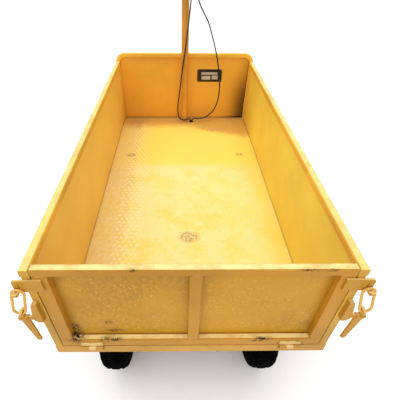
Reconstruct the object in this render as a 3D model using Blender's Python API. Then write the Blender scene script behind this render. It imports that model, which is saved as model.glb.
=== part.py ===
"""Electric platform cart: a steel load box with a drop tailgate on four pneumatic wheels.

Metres, +Z up, +Y towards the headboard, +X to the right of someone who looks that way.
The origin lies on the ground under the middle of the cart.
"""
import math

import bmesh
import bpy
from mathutils import Vector

# Load box
BOX_WIDTH = 0.900
BOX_LENGTH = 1.740
WALL_HEIGHT = 0.390
DECK_TOP = 0.495
DECK_THICKNESS = 0.003
SHEET = 0.0018
SEAT_GAP = 0.0003
WALL_INSET = 0.0162
RAIL_SIZE = 0.026
TUBE_WALL = 0.002
TUBE_CORNER = 0.003
POST_WIDTH = 0.024
POST_DEPTH = 0.038
HOOP_RISE = 0.050
HOOP_CORNER = 0.045
STAKE_WIDTH = 0.030
STAKE_DEPTH = 0.0155
STAKES_A_SIDE = 3

# Frame under the deck
SILL_SIZE = 0.040
FRONT_SILL_DEPTH = 0.030
FRAME_SHEET = 0.003
CROSS_MEMBERS = 4
RAIL_INNER_X = 0.110
CHASSIS_RAIL_WIDTH = 0.040
CHASSIS_RAIL_HEIGHT = 0.055
CHASSIS_RAIL_SETBACK = 0.034

# Tailgate
GATE_DEPTH = 0.024
GATE_RAIL_HEIGHT = 0.026
GATE_FOOT_HEIGHT = 0.040
GATE_STILE_WIDTH = 0.039
GATE_STILE_DEPTH = 0.021
CENTRE_STILE_WIDTH = 0.034
CENTRE_STILE_X = 0.004
GATE_SIDE_GAP = 0.004
GATE_FOOT_GAP = 0.0028

# Tailgate hinges
HINGE_X = 0.325
HINGE_LENGTH = 0.069
HINGE_KNUCKLES = 3
KNUCKLE_RADIUS = 0.0065
KNUCKLE_GAP = 0.0005
HINGE_PIN_RADIUS = 0.0035
HINGE_LEAF_HEIGHT = 0.024
HINGE_LEAF = 0.003
RUNNING_GAP = 0.0003

# Side latches
KEEPER_THICKNESS = 0.006
KEEPER_INSET = 0.052
KEEPER_REACH = 0.026
KEEPER_DROP = 0.034
KEEPER_HEIGHT = 0.046
KEEPER_CORNER = 0.006
FINGER_WIDTH = 0.014
FINGER_SLIT = 0.003
FINGER_SLIT_DROP = 0.012
FINGER_BEND = 0.006
FINGER_BEND_DROP = 0.031
FINGER_REACH = 0.030
FINGER_LIP = 0.006
FINGER_WELD = 0.004
RING_BAR = 0.008
RING_WIDTH = 0.041
RING_LENGTH = 0.120
RING_LEAN = math.radians(14.6)
LEVER_HEAD_WIDTH = 0.026
LEVER_HEAD_OFFSET = 0.007
LEVER_TIP_WIDTH = 0.014
LEVER_LENGTH = 0.126
LEVER_THICKNESS = 0.006
LEVER_LEAN = math.radians(5.0)
LEVER_BARREL_RADIUS = 0.009
CLAW_WIDTH = 0.008
CLAW_CLEARANCE = 0.0019
CLAW_LIP = 0.0055
CLAW_BACK = math.radians(118)
CLAW_SLOT_BACK = math.radians(107)
CLAW_SLOT_FRONT = math.radians(68)
LATCH_PIN_RADIUS = 0.004
PIN_HEAD_RATIO = 1.7
LATCH_PIN_DROP = 0.195
LUG_REACH = 0.009
LUG_INSET = 0.016
LUG_SHARE = 0.76
LUG_HEIGHT = 0.088
LUG_DEPTH = 0.0155

# Wheels and axles
TRACK = 0.616
WHEELBASE = 0.930
REAR_AXLE_INSET = 0.270
TYRE_RADIUS = 0.2075
TYRE_WIDTH = 0.112
TYRE_WALL = 0.010
TYRE_SIDES = 20
RIM_SIDES = 16
TYRE_GROOVE = 0.005
BEAD_RADIUS = 0.1015
RIM_WIDTH = 0.072
RIM_LIP = 0.010
RIM_SHEET = 0.0035
RIM_DISC_X = 0.010
HUB_RADIUS = 0.044
HUB_WALL = 0.007
HUB_CAP = 0.020
DRUM_RADIUS = 0.080
DRUM_DEPTH = 0.034
HUB_LENGTH = 0.060
SPINDLE_RADIUS = 0.0125
HAND_HOLES = 4
HAND_HOLE_RADIUS = 0.011
HAND_HOLE_CIRCLE = 0.066

# Front axle and steering linkage
KINGPIN_X = 0.220
KINGPIN_RADIUS = 0.008
BEAM_SIZE = 0.045
BEAM_CORNER = 0.004
EYE_RADIUS = 0.019
EYE_HEIGHT = 0.050
EAR_THICKNESS = 0.010
YOKE_DEPTH = 0.034
STEERING_ARM_LENGTH = 0.050
TIE_ARM_LENGTH = 0.090
ARM_WIDTH = 0.022
STUD_RADIUS = 0.005
STUD_NUT_HEIGHT = 0.004
LINK_RADIUS = 0.0075
LINK_EYE_RADIUS = 0.011
LINK_EYE_HEIGHT = 0.015

# Leaf springs
SPRING_LEAVES = 4
LEAF_THICKNESS = 0.006
LEAF_WIDTH = 0.040
SPRING_SPAN = 0.380
SPRING_CAMBER = 0.045
SPRING_SEAT_RISE = 0.0075
SPRING_EYE_RADIUS = 0.013
SPRING_PIN_RADIUS = 0.006
LEAF_STEP = 0.24
HANGER_SHEET = 0.005
HANGER_WIDTH = 0.034
SLIPPER_DROP = 0.014
SLIPPER_RISE = 0.010
PEDESTAL_FLARE = 2.2
U_BOLT_RADIUS = 0.004
U_BOLT_SPACING = 0.070
SPRING_PLATE = 0.008

# Rear axle and drive
AXLE_TUBE_RADIUS = 0.030
AXLE_HALF_LENGTH = 0.236
DIFF_RADIUS = 0.074
DIFF_HALF_WIDTH = 0.060
DIFF_FACE = 0.018
DIFF_NECK = 0.010
SPINDLE_STANDOUT = 0.012
MOTOR_RADIUS = 0.056
MOTOR_LENGTH = 0.190
MOTOR_BELL_RISE = 0.008
MOTOR_NOSE = 0.014
MOTOR_BELL_LENGTH = 0.030
MOTOR_BELL_STEP = 0.004
MOTOR_END_LENGTH = 0.020
MOTOR_END_TAPER = 0.006
BRAKE_PLATE_RADIUS = 0.078
BRAKE_PLATE_DEPTH = 0.012

# Batteries and controller
BATTERY_LENGTH = 0.330
BATTERY_WIDTH = 0.440
BATTERY_HEIGHT = 0.150
LID_STEP = 0.0015
BATTERY_AHEAD = 0.475
TRAY_SHEET = 0.002
TRAY_FLANGE = 0.022
TRAY_CLEARANCE = 0.006
CONTROLLER_LENGTH = 0.170
CONTROLLER_WIDTH = 0.150
CONTROLLER_HEIGHT = 0.030
CONTROLLER_FIN = 0.012
CONTROLLER_FINS = 8
CONTROLLER_SETBACK = 0.150

# Steering column
MAST_SETBACK = 0.065
MAST_RADIUS = 0.023
MAST_WALL = 0.003
MAST_DROP = 0.038
SHAFT_RADIUS = 0.0125
BUSH_LENGTH = 0.030
BUSH_FLANGE = 0.004
BEARING_RADIUS = 0.030
BEARING_DEPTH = 0.050
BEARING_FLANGE = 0.006
BAR_RADIUS = 0.011
BAR_RISE = 0.055
BAR_PULLBACK = 0.060
BAR_HALF_WIDTH = 0.340
BAR_CENTRE_HALF = 0.055
BAR_SHOULDER_X = 0.150
BAR_HEIGHT = 1.398
STEM_RADIUS = 0.018
STEM_HALF_WIDTH = 0.024
GRIP_RADIUS = 0.016
GRIP_START = 0.200
THROTTLE_START = 0.235
GRIP_END = 0.344
GRIP_RIBS = 5
GRIP_COLLAR = 0.0025
PERCH_START = 0.172
PERCH_END = 0.196
PERCH_RADIUS = 0.0175
BRAKE_PIVOT_Y = 0.036
BRAKE_PIN_RADIUS = 0.003
BRAKE_LEVER_LENGTH = 0.135
BRAKE_LEVER_RISE = 0.026
BRAKE_LEVER_THICKNESS = 0.008
POD_WIDTH = 0.130
POD_DEPTH = 0.040
POD_HEIGHT = 0.070
POD_GAP = 0.012
POD_RISE = 0.017
POD_CORNER = 0.008
POD_BEVEL = 0.004
POD_BACK_BEVEL = 0.002
POD_ARM_RADIUS = 0.017
POD_ARM_WIDTH = 0.010
POD_ARM_INSET = 0.015
POD_ARM_ROOT = 0.003
POD_ARM_WRAP = 250
GLAND_RADIUS = 0.0075
GLAND_LENGTH = 0.014
GLAND_COLLAR = 0.006
GLAND_LEFT_OFFSET = 0.014
GLAND_RIGHT_OFFSET = 0.004
LOCK_DEPTH = 0.014
KEY_RADIUS = 0.008
KEY_STANDOUT = 0.003
KEY_BLADE = 0.0024
KEY_BLADE_WIDTH = 0.010
KEY_BLADE_LENGTH = 0.012
KEY_BOW = 0.0028
KEY_BOW_RADIUS = 0.011
KEY_BOW_OUT = 0.020
BUTTON_RADIUS = 0.009
BUTTON_TRAVEL = 0.003
BUTTON_DOME = 0.0025
BUTTON_EDGE = 0.001

# Cables
CABLE_RADIUS = 0.004
RIGHT_CABLE_SETBACK = 0.015
LEFT_CABLE_SETBACK = 0.030
CABLE_CLIPS = 4
CLIPS_START = 0.640
CLIPS_SPACING = 0.300
GROMMET_RADIUS = 0.016
GROMMET_HEIGHT = 0.006
GROMMET_X = 0.050
GROMMET_SETBACK = 0.082

# Worked out from the sizes above
TAIL_Y = (FINGER_REACH - BOX_LENGTH) / 2
NOSE_Y = TAIL_Y + BOX_LENGTH
HALF_WIDTH = BOX_WIDTH / 2
KEEPER_INNER_X = HALF_WIDTH - KEEPER_INSET
KEEPER_OUTER_X = HALF_WIDTH + KEEPER_REACH
LUG_INNER_X = HALF_WIDTH - LUG_INSET
LUG_OUTER_X = HALF_WIDTH + LUG_REACH
RAIL_TOP = DECK_TOP + WALL_HEIGHT
RAIL_BOTTOM = RAIL_TOP - RAIL_SIZE
SILL_TOP = DECK_TOP - DECK_THICKNESS - SEAT_GAP
SILL_BOTTOM = SILL_TOP - SILL_SIZE
CHASSIS_RAIL_X = RAIL_INNER_X + CHASSIS_RAIL_WIDTH / 2
CHASSIS_TOP = SILL_BOTTOM
CHASSIS_BOTTOM = CHASSIS_TOP - CHASSIS_RAIL_HEIGHT
WALL_OUTER_X = HALF_WIDTH - WALL_INSET
WALL_INNER_X = WALL_OUTER_X - SHEET
REAR_AXLE_Y = TAIL_Y + REAR_AXLE_INSET
FRONT_AXLE_Y = REAR_AXLE_Y + WHEELBASE
AXLE_Z = TYRE_RADIUS
WHEEL_X = TRACK / 2
TYRE_SECTION = TYRE_RADIUS - BEAD_RADIUS
MAST_Y = NOSE_Y - MAST_SETBACK
MAST_TOP = BAR_HEIGHT - MAST_DROP
CONTROLLER_Y = MAST_Y - CONTROLLER_SETBACK
BATTERY_Y = REAR_AXLE_Y + BATTERY_AHEAD
SPRING_SEAT_HEIGHT = AXLE_Z + AXLE_TUBE_RADIUS + SPRING_SEAT_RISE
GATE_HALF = HALF_WIDTH - POST_WIDTH - GATE_SIDE_GAP
GATE_FOOT = SILL_TOP + GATE_FOOT_GAP
HINGE_Y = TAIL_Y - KNUCKLE_RADIUS - KNUCKLE_GAP
HINGE_Z = (SILL_TOP + GATE_FOOT) / 2
SPRING_ARC = ((SPRING_SPAN / 2) ** 2 + SPRING_CAMBER ** 2) / (2 * SPRING_CAMBER)
SPRING_CENTRE_Z = SPRING_SEAT_HEIGHT + SEAT_GAP + LEAF_THICKNESS * (SPRING_LEAVES - 0.5) + SPRING_ARC
FINGER_X = KEEPER_OUTER_X - FINGER_WIDTH / 2
FINGER_TOP = RAIL_TOP - KEEPER_DROP - FINGER_BEND_DROP - FINGER_BEND
RING_ARC = (RING_WIDTH - RING_BAR) / 2
RING_SAG = RING_ARC - math.sqrt(RING_ARC ** 2 - (FINGER_WIDTH / 2) ** 2)
RING_Y = TAIL_Y - SEAT_GAP - KEEPER_THICKNESS - RING_BAR / 2 - RING_SAG / 2 - SEAT_GAP
RING_PIVOT_Z = FINGER_TOP + RING_BAR / 2 + 2 * SEAT_GAP
RING_AXIS_Z = RING_PIVOT_Z + RING_SAG / 2
LATCH_PIN_Z = RAIL_TOP - LATCH_PIN_DROP
BAR_END_Y = MAST_Y - BAR_PULLBACK
BRAKE_RUN_X = RAIL_INNER_X - 2 * CABLE_RADIUS
BRAKE_RUN_Z = CHASSIS_BOTTOM + CHASSIS_RAIL_HEIGHT / 2
GROMMET_XY = (GROMMET_X, NOSE_Y - GROMMET_SETBACK)
BAR_END_Z = BAR_HEIGHT + BAR_RISE


def clear(radius, sides, gap=RUNNING_GAP):
    """Radius of a many-sided bore whose flats stay a running gap away from a shaft."""
    return (radius + gap) / math.cos(math.pi / sides)


def finish(name, colour, roughness, metallic=0.0):
    material = bpy.data.materials.new(name)
    material.use_nodes = True
    shader = material.node_tree.nodes["Principled BSDF"]
    shader.inputs["Base Color"].default_value = (*colour, 1.0)
    shader.inputs["Roughness"].default_value = roughness
    shader.inputs["Metallic"].default_value = metallic
    return material


def make_object(name, mesh_data, material, smooth=False):
    bmesh.ops.remove_doubles(mesh_data, verts=mesh_data.verts, dist=0.000005)
    bmesh.ops.recalc_face_normals(mesh_data, faces=mesh_data.faces)
    mesh = bpy.data.meshes.new(name)
    mesh_data.to_mesh(mesh)
    mesh_data.free()
    mesh.materials.append(material)
    if smooth:
        mesh.shade_smooth()
        mesh.set_sharp_from_angle(angle=math.radians(40))
    thing = bpy.data.objects.new(name, mesh)
    bpy.context.collection.objects.link(thing)
    return thing


def carry(things, body, pivot):
    """Hang pieces on an empty that stands on their joint's axis."""
    empty = bpy.data.objects.new(body, None)
    empty.location = pivot
    bpy.context.collection.objects.link(empty)
    for thing in things:
        thing.parent = empty
        thing.matrix_parent_inverse.identity()
        thing.location = -Vector(pivot)


def join_in(target, extra):
    """Weld another solid to the target, and leave the tool solid out of the model."""
    modifier = target.modifiers.new(extra.name, "BOOLEAN")
    modifier.operation = "UNION"
    modifier.object = extra
    hide_tool(extra)


def cut_out(target, cutter):
    modifier = target.modifiers.new(cutter.name, "BOOLEAN")
    modifier.operation = "DIFFERENCE"
    modifier.object = cutter
    hide_tool(cutter)


def hide_tool(tool):
    tool.hide_render = True
    tool.display_type = "WIRE"


def in_space(axis, first, second, along):
    if axis == "x":
        return Vector((along, first, second))
    if axis == "y":
        return Vector((first, along, second))
    return Vector((first, second, along))


def rectangle(low_a, low_b, high_a, high_b):
    return [(low_a, low_b), (high_a, low_b), (high_a, high_b), (low_a, high_b)]


def rounded(outline, radius, steps=3):
    """Round every corner of an outline with a fillet."""
    points = []
    count = len(outline)
    for index in range(count):
        corner = Vector(outline[index])
        before = (Vector(outline[index - 1]) - corner).normalized()
        after = (Vector(outline[(index + 1) % count]) - corner).normalized()
        half_angle = before.angle(after) / 2
        reach = radius / math.tan(half_angle)
        centre = corner + (before + after).normalized() * radius / math.sin(half_angle)
        start = corner + before * reach - centre
        end = corner + after * reach - centre
        for step in range(steps + 1):
            share = step / steps
            arm = (start * (1 - share) + end * share).normalized() * radius
            points.append(tuple(centre + arm))
    return points


def circle(centre_a, centre_b, radius, sides, phase=0.0):
    points = []
    for step in range(sides):
        angle = phase + 2 * math.pi * step / sides
        points.append((centre_a + radius * math.cos(angle), centre_b + radius * math.sin(angle)))
    return points


def add_prism(shape, outline, axis, start, end):
    verts = [shape.verts.new(in_space(axis, a, b, start)) for a, b in outline]
    face = shape.faces.new(verts)
    grown = bmesh.ops.extrude_face_region(shape, geom=[face])
    moved = [item for item in grown["geom"] if isinstance(item, bmesh.types.BMVert)]
    bmesh.ops.translate(shape, verts=moved, vec=in_space(axis, 0, 0, end - start))


def add_stack(shape, layers, axis="z"):
    """Skin a solid over outlines of equal length, each given with its distance along the axis."""
    rings = [[shape.verts.new(in_space(axis, a, b, along)) for a, b in outline] for outline, along in layers]
    count = len(rings[0])
    for lower, upper in zip(rings, rings[1:]):
        for index in range(count):
            following = (index + 1) % count
            shape.faces.new((lower[index], lower[following], upper[following], upper[index]))
    shape.faces.new(rings[0])
    shape.faces.new(rings[-1])


def add_tube(shape, outer, inner, axis, start, end, capped=0.0):
    """Hollow section; a cap of the given thickness closes the start where it isn't zero."""
    cavity_start = start + math.copysign(capped, end - start)
    rings = []
    for outline, along in ((outer, start), (outer, end), (inner, end), (inner, cavity_start)):
        rings.append([shape.verts.new(in_space(axis, a, b, along)) for a, b in outline])
    loops = [(0, 1), (1, 2), (2, 3)]
    if capped:
        shape.faces.new(rings[0])
        shape.faces.new(rings[3])
    else:
        loops.append((3, 0))
    count = len(outer)
    for first, second in loops:
        for index in range(count):
            following = (index + 1) % count
            shape.faces.new((
                rings[first][index], rings[first][following],
                rings[second][following], rings[second][index],
            ))


def box_section(low_a, low_b, high_a, high_b, wall=TUBE_WALL, corner=TUBE_CORNER):
    outer = rounded(rectangle(low_a, low_b, high_a, high_b), corner, 1)
    inner_box = rectangle(low_a + wall, low_b + wall, high_a - wall, high_b - wall)
    inner = rounded(inner_box, max(corner - wall, wall / 4), 1)
    return outer, inner


def add_turned(shape, profile, axis, centre, sides, closed=True):
    """Turn a profile of (radius, distance along the axis) about an axis through the centre."""
    centre = Vector(centre)
    along = in_space(axis, 0, 0, 1)
    outward = Vector((1, 0, 0)) if axis == "z" else Vector((0, 0, -1))
    verts = [shape.verts.new(centre + outward * radius + along * reach) for radius, reach in profile]
    pairs = list(zip(verts, verts[1:]))
    if closed:
        pairs.append((verts[-1], verts[0]))
    edges = [shape.edges.new(pair) for pair in pairs]
    bmesh.ops.spin(
        shape, geom=verts + edges, cent=centre, axis=along,
        angle=2 * math.pi, steps=sides, use_merge=True,
    )
    bmesh.ops.remove_doubles(shape, verts=shape.verts, dist=0.000005)


def add_swept(shape, path, section, side, closed=False):
    """Carry a section of (in the bend's plane, along side) points along a flat path."""
    path = [Vector(point) for point in path]
    side = Vector(side).normalized()
    count = len(path)
    rings = []
    for index, point in enumerate(path):
        previous = path[index - 1] if index or closed else None
        following = path[(index + 1) % count] if index < count - 1 or closed else None
        into = (point - previous).normalized() if previous else (following - point).normalized()
        out = (following - point).normalized() if following else into
        tangent = (into + out).normalized()
        normal = side.cross(tangent).normalized() / tangent.dot(into)
        rings.append([shape.verts.new(point + normal * a + side * b) for a, b in section])
    spans = count if closed else count - 1
    sides = len(section)
    for index in range(spans):
        here = rings[index]
        there = rings[(index + 1) % count]
        for step in range(sides):
            turn = (step + 1) % sides
            shape.faces.new((here[step], here[turn], there[turn], there[step]))
    if not closed:
        shape.faces.new(rings[0])
        shape.faces.new(list(reversed(rings[-1])))


def bent_path(points, radius, steps):
    """A line through points, with an arc of the given radius at each inner corner."""
    points = [Vector(point) for point in points]
    path = [points[0]]
    for before, corner, after in zip(points, points[1:], points[2:]):
        back = (before - corner).normalized()
        ahead = (after - corner).normalized()
        half_angle = back.angle(ahead) / 2
        reach = radius / math.tan(half_angle)
        centre = corner + (back + ahead).normalized() * radius / math.sin(half_angle)
        start = corner + back * reach - centre
        end = corner + ahead * reach - centre
        turn = start.angle(end)
        for step in range(steps + 1):
            share = step / steps
            arm = start * math.sin((1 - share) * turn) + end * math.sin(share * turn)
            path.append(centre + arm / math.sin(turn))
    path.append(points[-1])
    return path


def drill(target, axis, centre, radius, length, sides):
    """Bore a hole of the given length, centred, along an axis."""
    shape = bmesh.new()
    centre = Vector(centre)
    along = in_space(axis, 0, 0, 1)
    middle = centre.dot(along)
    flat = {"x": (centre.y, centre.z), "y": (centre.x, centre.z), "z": (centre.x, centre.y)}[axis]
    outline = circle(*flat, radius, sides, math.pi / sides)
    add_prism(shape, outline, axis, middle - length / 2, middle + length / 2)
    count = len(target.modifiers)
    cutter = make_object(f"bore_{target.name}_{count}", shape, target.data.materials[0])
    cut_out(target, cutter)


def channel(low_a, low_b, high_a, high_b, wall, opening):
    """Outline of a folded C-section that is open towards one of its four sides."""
    outer = rectangle(low_a, low_b, high_a, high_b)
    inner = rectangle(low_a + wall, low_b + wall, high_a - wall, high_b - wall)
    first = {"low_b": 0, "high_a": 1, "high_b": 2, "low_a": 3}[opening]
    order = [(first + 1 + step) % 4 for step in range(4)]
    along = 0 if opening in ("low_b", "high_b") else 1
    edge = {"low_b": low_b, "high_a": high_a, "high_b": high_b, "low_a": low_a}[opening]
    inside = [list(inner[corner]) for corner in order]
    inside[0][1 - along] = edge
    inside[-1][1 - along] = edge
    return [outer[corner] for corner in order] + [tuple(point) for point in reversed(inside)]


def deck_frame(paint):
    """Folded channels welded round the deck, cross members between them and two deep rails below."""
    bite = SEAT_GAP / 2
    pieces = []

    def weld(axis, start, end, box, opening):
        shape = bmesh.new()
        add_prism(shape, channel(*box, FRAME_SHEET, opening), axis, start, end)
        pieces.append(make_object(f"frame_{len(pieces)}", shape, paint))

    weld("x", -HALF_WIDTH, HALF_WIDTH, (TAIL_Y, SILL_BOTTOM, TAIL_Y + SILL_SIZE, SILL_TOP), "high_a")
    weld("x", -HALF_WIDTH, HALF_WIDTH, (NOSE_Y - FRONT_SILL_DEPTH, SILL_BOTTOM, NOSE_Y, SILL_TOP), "low_a")
    tail = TAIL_Y + FRAME_SHEET / 2
    nose = NOSE_Y - FRAME_SHEET / 2
    low = SILL_BOTTOM + bite
    high = SILL_TOP - bite
    for side in (-1, 1):
        near, far = sorted((side * (HALF_WIDTH - SILL_SIZE), side * (HALF_WIDTH - bite)))
        weld("y", tail, nose, (near, low, far, high), "low_a" if side > 0 else "high_a")
    reach = HALF_WIDTH - FRAME_SHEET / 2
    spacing = (BOX_LENGTH - SILL_SIZE) / (CROSS_MEMBERS + 1)
    for index in range(CROSS_MEMBERS):
        middle = TAIL_Y + SILL_SIZE / 2 + spacing * (index + 1)
        box = (middle - SILL_SIZE / 2, low + bite, middle + SILL_SIZE / 2, high - bite)
        weld("x", -reach, reach, box, "high_a")
    start = TAIL_Y + CHASSIS_RAIL_SETBACK
    end = NOSE_Y - CHASSIS_RAIL_SETBACK / 2
    for side in (-1, 1):
        near, far = sorted((side * RAIL_INNER_X, side * (RAIL_INNER_X + CHASSIS_RAIL_WIDTH)))
        box = (near, CHASSIS_BOTTOM, far, SILL_BOTTOM + FRAME_SHEET / 4)
        weld("y", start, end, box, "high_a" if side > 0 else "low_a")
        spring_brackets(pieces, side, paint)
        axle_pedestal(pieces, side, paint)
    frame = pieces[0]
    frame.name = "deck_frame"
    for piece in pieces[1:]:
        join_in(frame, piece)
    return frame


def spring_brackets(pieces, side, paint):
    """Fixed hanger with its pin in front of the rear axle, and an open slipper box behind it."""
    x = side * CHASSIS_RAIL_X
    top = CHASSIS_BOTTOM + FRAME_SHEET / 4
    cheek = LEAF_WIDTH / 2 + 2 * RUNNING_GAP
    outer = cheek + HANGER_SHEET
    roof = CHASSIS_BOTTOM - HANGER_SHEET
    eye_y, eye_z = spring_eye()
    chin = eye_z - SPRING_EYE_RADIUS
    tail_y, tail_z = leaf_point(0, -1)
    shelf = tail_z - SLIPPER_DROP
    hanger = [(x - outer, chin), (x - cheek, chin), (x - cheek, roof), (x + cheek, roof),
              (x + cheek, chin), (x + outer, chin), (x + outer, top), (x - outer, top)]
    box = [(x - outer, shelf), (x - cheek, shelf), (x - cheek, tail_z + SLIPPER_RISE),
           (x + cheek, tail_z + SLIPPER_RISE), (x + cheek, shelf), (x + outer, shelf),
           (x + outer, top), (x - outer, top)]
    for outline, y in ((hanger, eye_y), (box, tail_y + HANGER_WIDTH / 4)):
        shape = bmesh.new()
        add_prism(shape, outline, "y", y - HANGER_WIDTH / 2, y + HANGER_WIDTH / 2)
        pieces.append(make_object(f"bracket_{len(pieces)}", shape, paint))
    radius = SPRING_PIN_RADIUS
    end = outer + radius
    profile = [(0, x - end), (1.6 * radius, x - end), (1.6 * radius, x - outer + SEAT_GAP),
               (radius, x - outer + SEAT_GAP), (radius, x + outer - SEAT_GAP),
               (1.6 * radius, x + outer - SEAT_GAP), (1.6 * radius, x + end), (0, x + end)]
    shape = bmesh.new()
    add_turned(shape, profile, "x", (0, eye_y, eye_z), 12, closed=False)
    pieces.append(make_object(f"spring_pin_{len(pieces)}", shape, paint))


def axle_pedestal(pieces, side, paint):
    """Tapered box leg that carries the front axle under a rail."""
    x = side * CHASSIS_RAIL_X
    top = CHASSIS_BOTTOM + FRAME_SHEET / 4
    foot = AXLE_Z + BEAM_SIZE / 2 + SEAT_GAP
    half_foot = BEAM_SIZE / 2
    half_top = half_foot * PEDESTAL_FLARE
    web = [(FRONT_AXLE_Y - half_foot, foot), (FRONT_AXLE_Y + half_foot, foot),
           (FRONT_AXLE_Y + half_top, top), (FRONT_AXLE_Y - half_top, top)]
    inner = CHASSIS_RAIL_WIDTH / 2 - SEAT_GAP
    for low in (x - inner, x + inner - HANGER_SHEET):
        shape = bmesh.new()
        add_prism(shape, web, "x", low, low + HANGER_SHEET)
        pieces.append(make_object(f"pedestal_{len(pieces)}", shape, paint))
    shape = bmesh.new()
    sole = rectangle(x - inner + SEAT_GAP, FRONT_AXLE_Y - half_foot + SEAT_GAP,
                     x + inner - SEAT_GAP, FRONT_AXLE_Y + half_foot - SEAT_GAP)
    add_prism(shape, sole, "z", foot + SEAT_GAP / 2, foot + HANGER_SHEET)
    pieces.append(make_object(f"sole_{len(pieces)}", shape, paint))


def deck_plate(paint):
    """Tread plate, notched round the corner posts and the hoop's legs."""
    wide = WALL_INNER_X - SEAT_GAP
    at_posts = HALF_WIDTH - POST_WIDTH - SEAT_GAP
    at_legs = HALF_WIDTH - RAIL_SIZE - SEAT_GAP
    tail = TAIL_Y + GATE_DEPTH + GATE_SIDE_GAP
    post_end = TAIL_Y + POST_DEPTH + SEAT_GAP
    leg_start = NOSE_Y - RAIL_SIZE - SEAT_GAP
    nose = NOSE_Y - RAIL_SIZE / 2 - SHEET / 2 - SEAT_GAP
    right = [
        (at_posts, tail), (at_posts, post_end), (wide, post_end),
        (wide, leg_start), (at_legs, leg_start), (at_legs, nose),
    ]
    left = [(-x, y) for x, y in reversed(right)]
    shape = bmesh.new()
    add_prism(shape, right + left, "z", DECK_TOP - DECK_THICKNESS, DECK_TOP)
    deck = make_object("deck_plate", shape, paint)
    middle = (0, MAST_Y, DECK_TOP)
    drill(deck, "z", middle, SHAFT_RADIUS + GATE_SIDE_GAP, 4 * DECK_THICKNESS, 16)
    drill(deck, "z", (*GROMMET_XY, DECK_TOP), GROMMET_RADIUS - GATE_SIDE_GAP, 4 * DECK_THICKNESS, 16)


def box_sides(paint):
    """Side panels in a top rail with a rear corner post and outside stakes."""
    panel_start = TAIL_Y + POST_DEPTH + SEAT_GAP
    panel_end = NOSE_Y - RAIL_SIZE - SEAT_GAP
    foot = SILL_TOP + SEAT_GAP
    head = RAIL_BOTTOM - SEAT_GAP
    bite = SEAT_GAP / 2
    weld_top = RAIL_BOTTOM + TUBE_WALL / 2
    spacing = (panel_end - panel_start) / (STAKES_A_SIDE + 1)
    for side, word in ((-1, "left"), (1, "right")):
        near, far = sorted((side * WALL_INNER_X, side * WALL_OUTER_X))
        shape = bmesh.new()
        add_prism(shape, rectangle(near, foot, far, head), "y", panel_start, panel_end)
        make_object(f"side_panel_{word}", shape, paint)

        near, far = sorted((side * (HALF_WIDTH - RAIL_SIZE), side * HALF_WIDTH))
        outer, inner = box_section(near, RAIL_BOTTOM, far, RAIL_TOP)
        shape = bmesh.new()
        add_tube(shape, outer, inner, "y", TAIL_Y, panel_end, TUBE_WALL)
        frame = make_object(f"side_frame_{word}", shape, paint)

        near, far = sorted((side * (HALF_WIDTH - POST_WIDTH), side * (HALF_WIDTH - bite)))
        outer, inner = box_section(near, TAIL_Y + bite, far, TAIL_Y + POST_DEPTH)
        shape = bmesh.new()
        add_tube(shape, outer, inner, "z", foot, weld_top)
        join_in(frame, make_object(f"corner_post_{word}", shape, paint))

        back = WALL_OUTER_X + SEAT_GAP
        near, far = sorted((side * back, side * (back + STAKE_DEPTH)))
        opening = "low_a" if side > 0 else "high_a"
        for index in range(STAKES_A_SIDE):
            low = panel_start + spacing * (index + 1) - STAKE_WIDTH / 2
            shape = bmesh.new()
            section = channel(near, low, far, low + STAKE_WIDTH, TUBE_WALL, opening)
            add_prism(shape, section, "z", foot, weld_top)
            join_in(frame, make_object(f"stake_{word}_{index}", shape, paint))


def headboard(paint):
    """A square tube bent into a hoop over the front, with a sheet panel inside it."""
    leg_x = HALF_WIDTH - RAIL_SIZE / 2
    top = RAIL_TOP + HOOP_RISE - RAIL_SIZE / 2
    middle_y = NOSE_Y - RAIL_SIZE / 2
    foot = SILL_TOP + SEAT_GAP
    corners = [
        (-leg_x, middle_y, foot), (-leg_x, middle_y, top), (leg_x, middle_y, top), (leg_x, middle_y, foot),
    ]
    half = RAIL_SIZE / 2
    section = rounded(rectangle(-half, -half, half, half), TUBE_CORNER, 1)
    shape = bmesh.new()
    add_swept(shape, bent_path(corners, HOOP_CORNER, 6), section, (0, 1, 0))
    make_object("headboard_hoop", shape, paint)

    inside = leg_x - half - SEAT_GAP
    head = top - half - SEAT_GAP
    fillet = HOOP_CORNER - half + SEAT_GAP
    outline = [(-inside, foot), (inside, foot)]
    steps = 6
    for side in (1, -1):
        for step in range(steps + 1):
            share = step if side > 0 else steps - step
            angle = share / steps * math.pi / 2
            x = side * (inside - fillet + fillet * math.cos(angle))
            outline.append((x, head - fillet + fillet * math.sin(angle)))
    shape = bmesh.new()
    add_prism(shape, outline, "y", middle_y - SHEET / 2, middle_y + SHEET / 2)
    make_object("headboard_panel", shape, paint)


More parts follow.
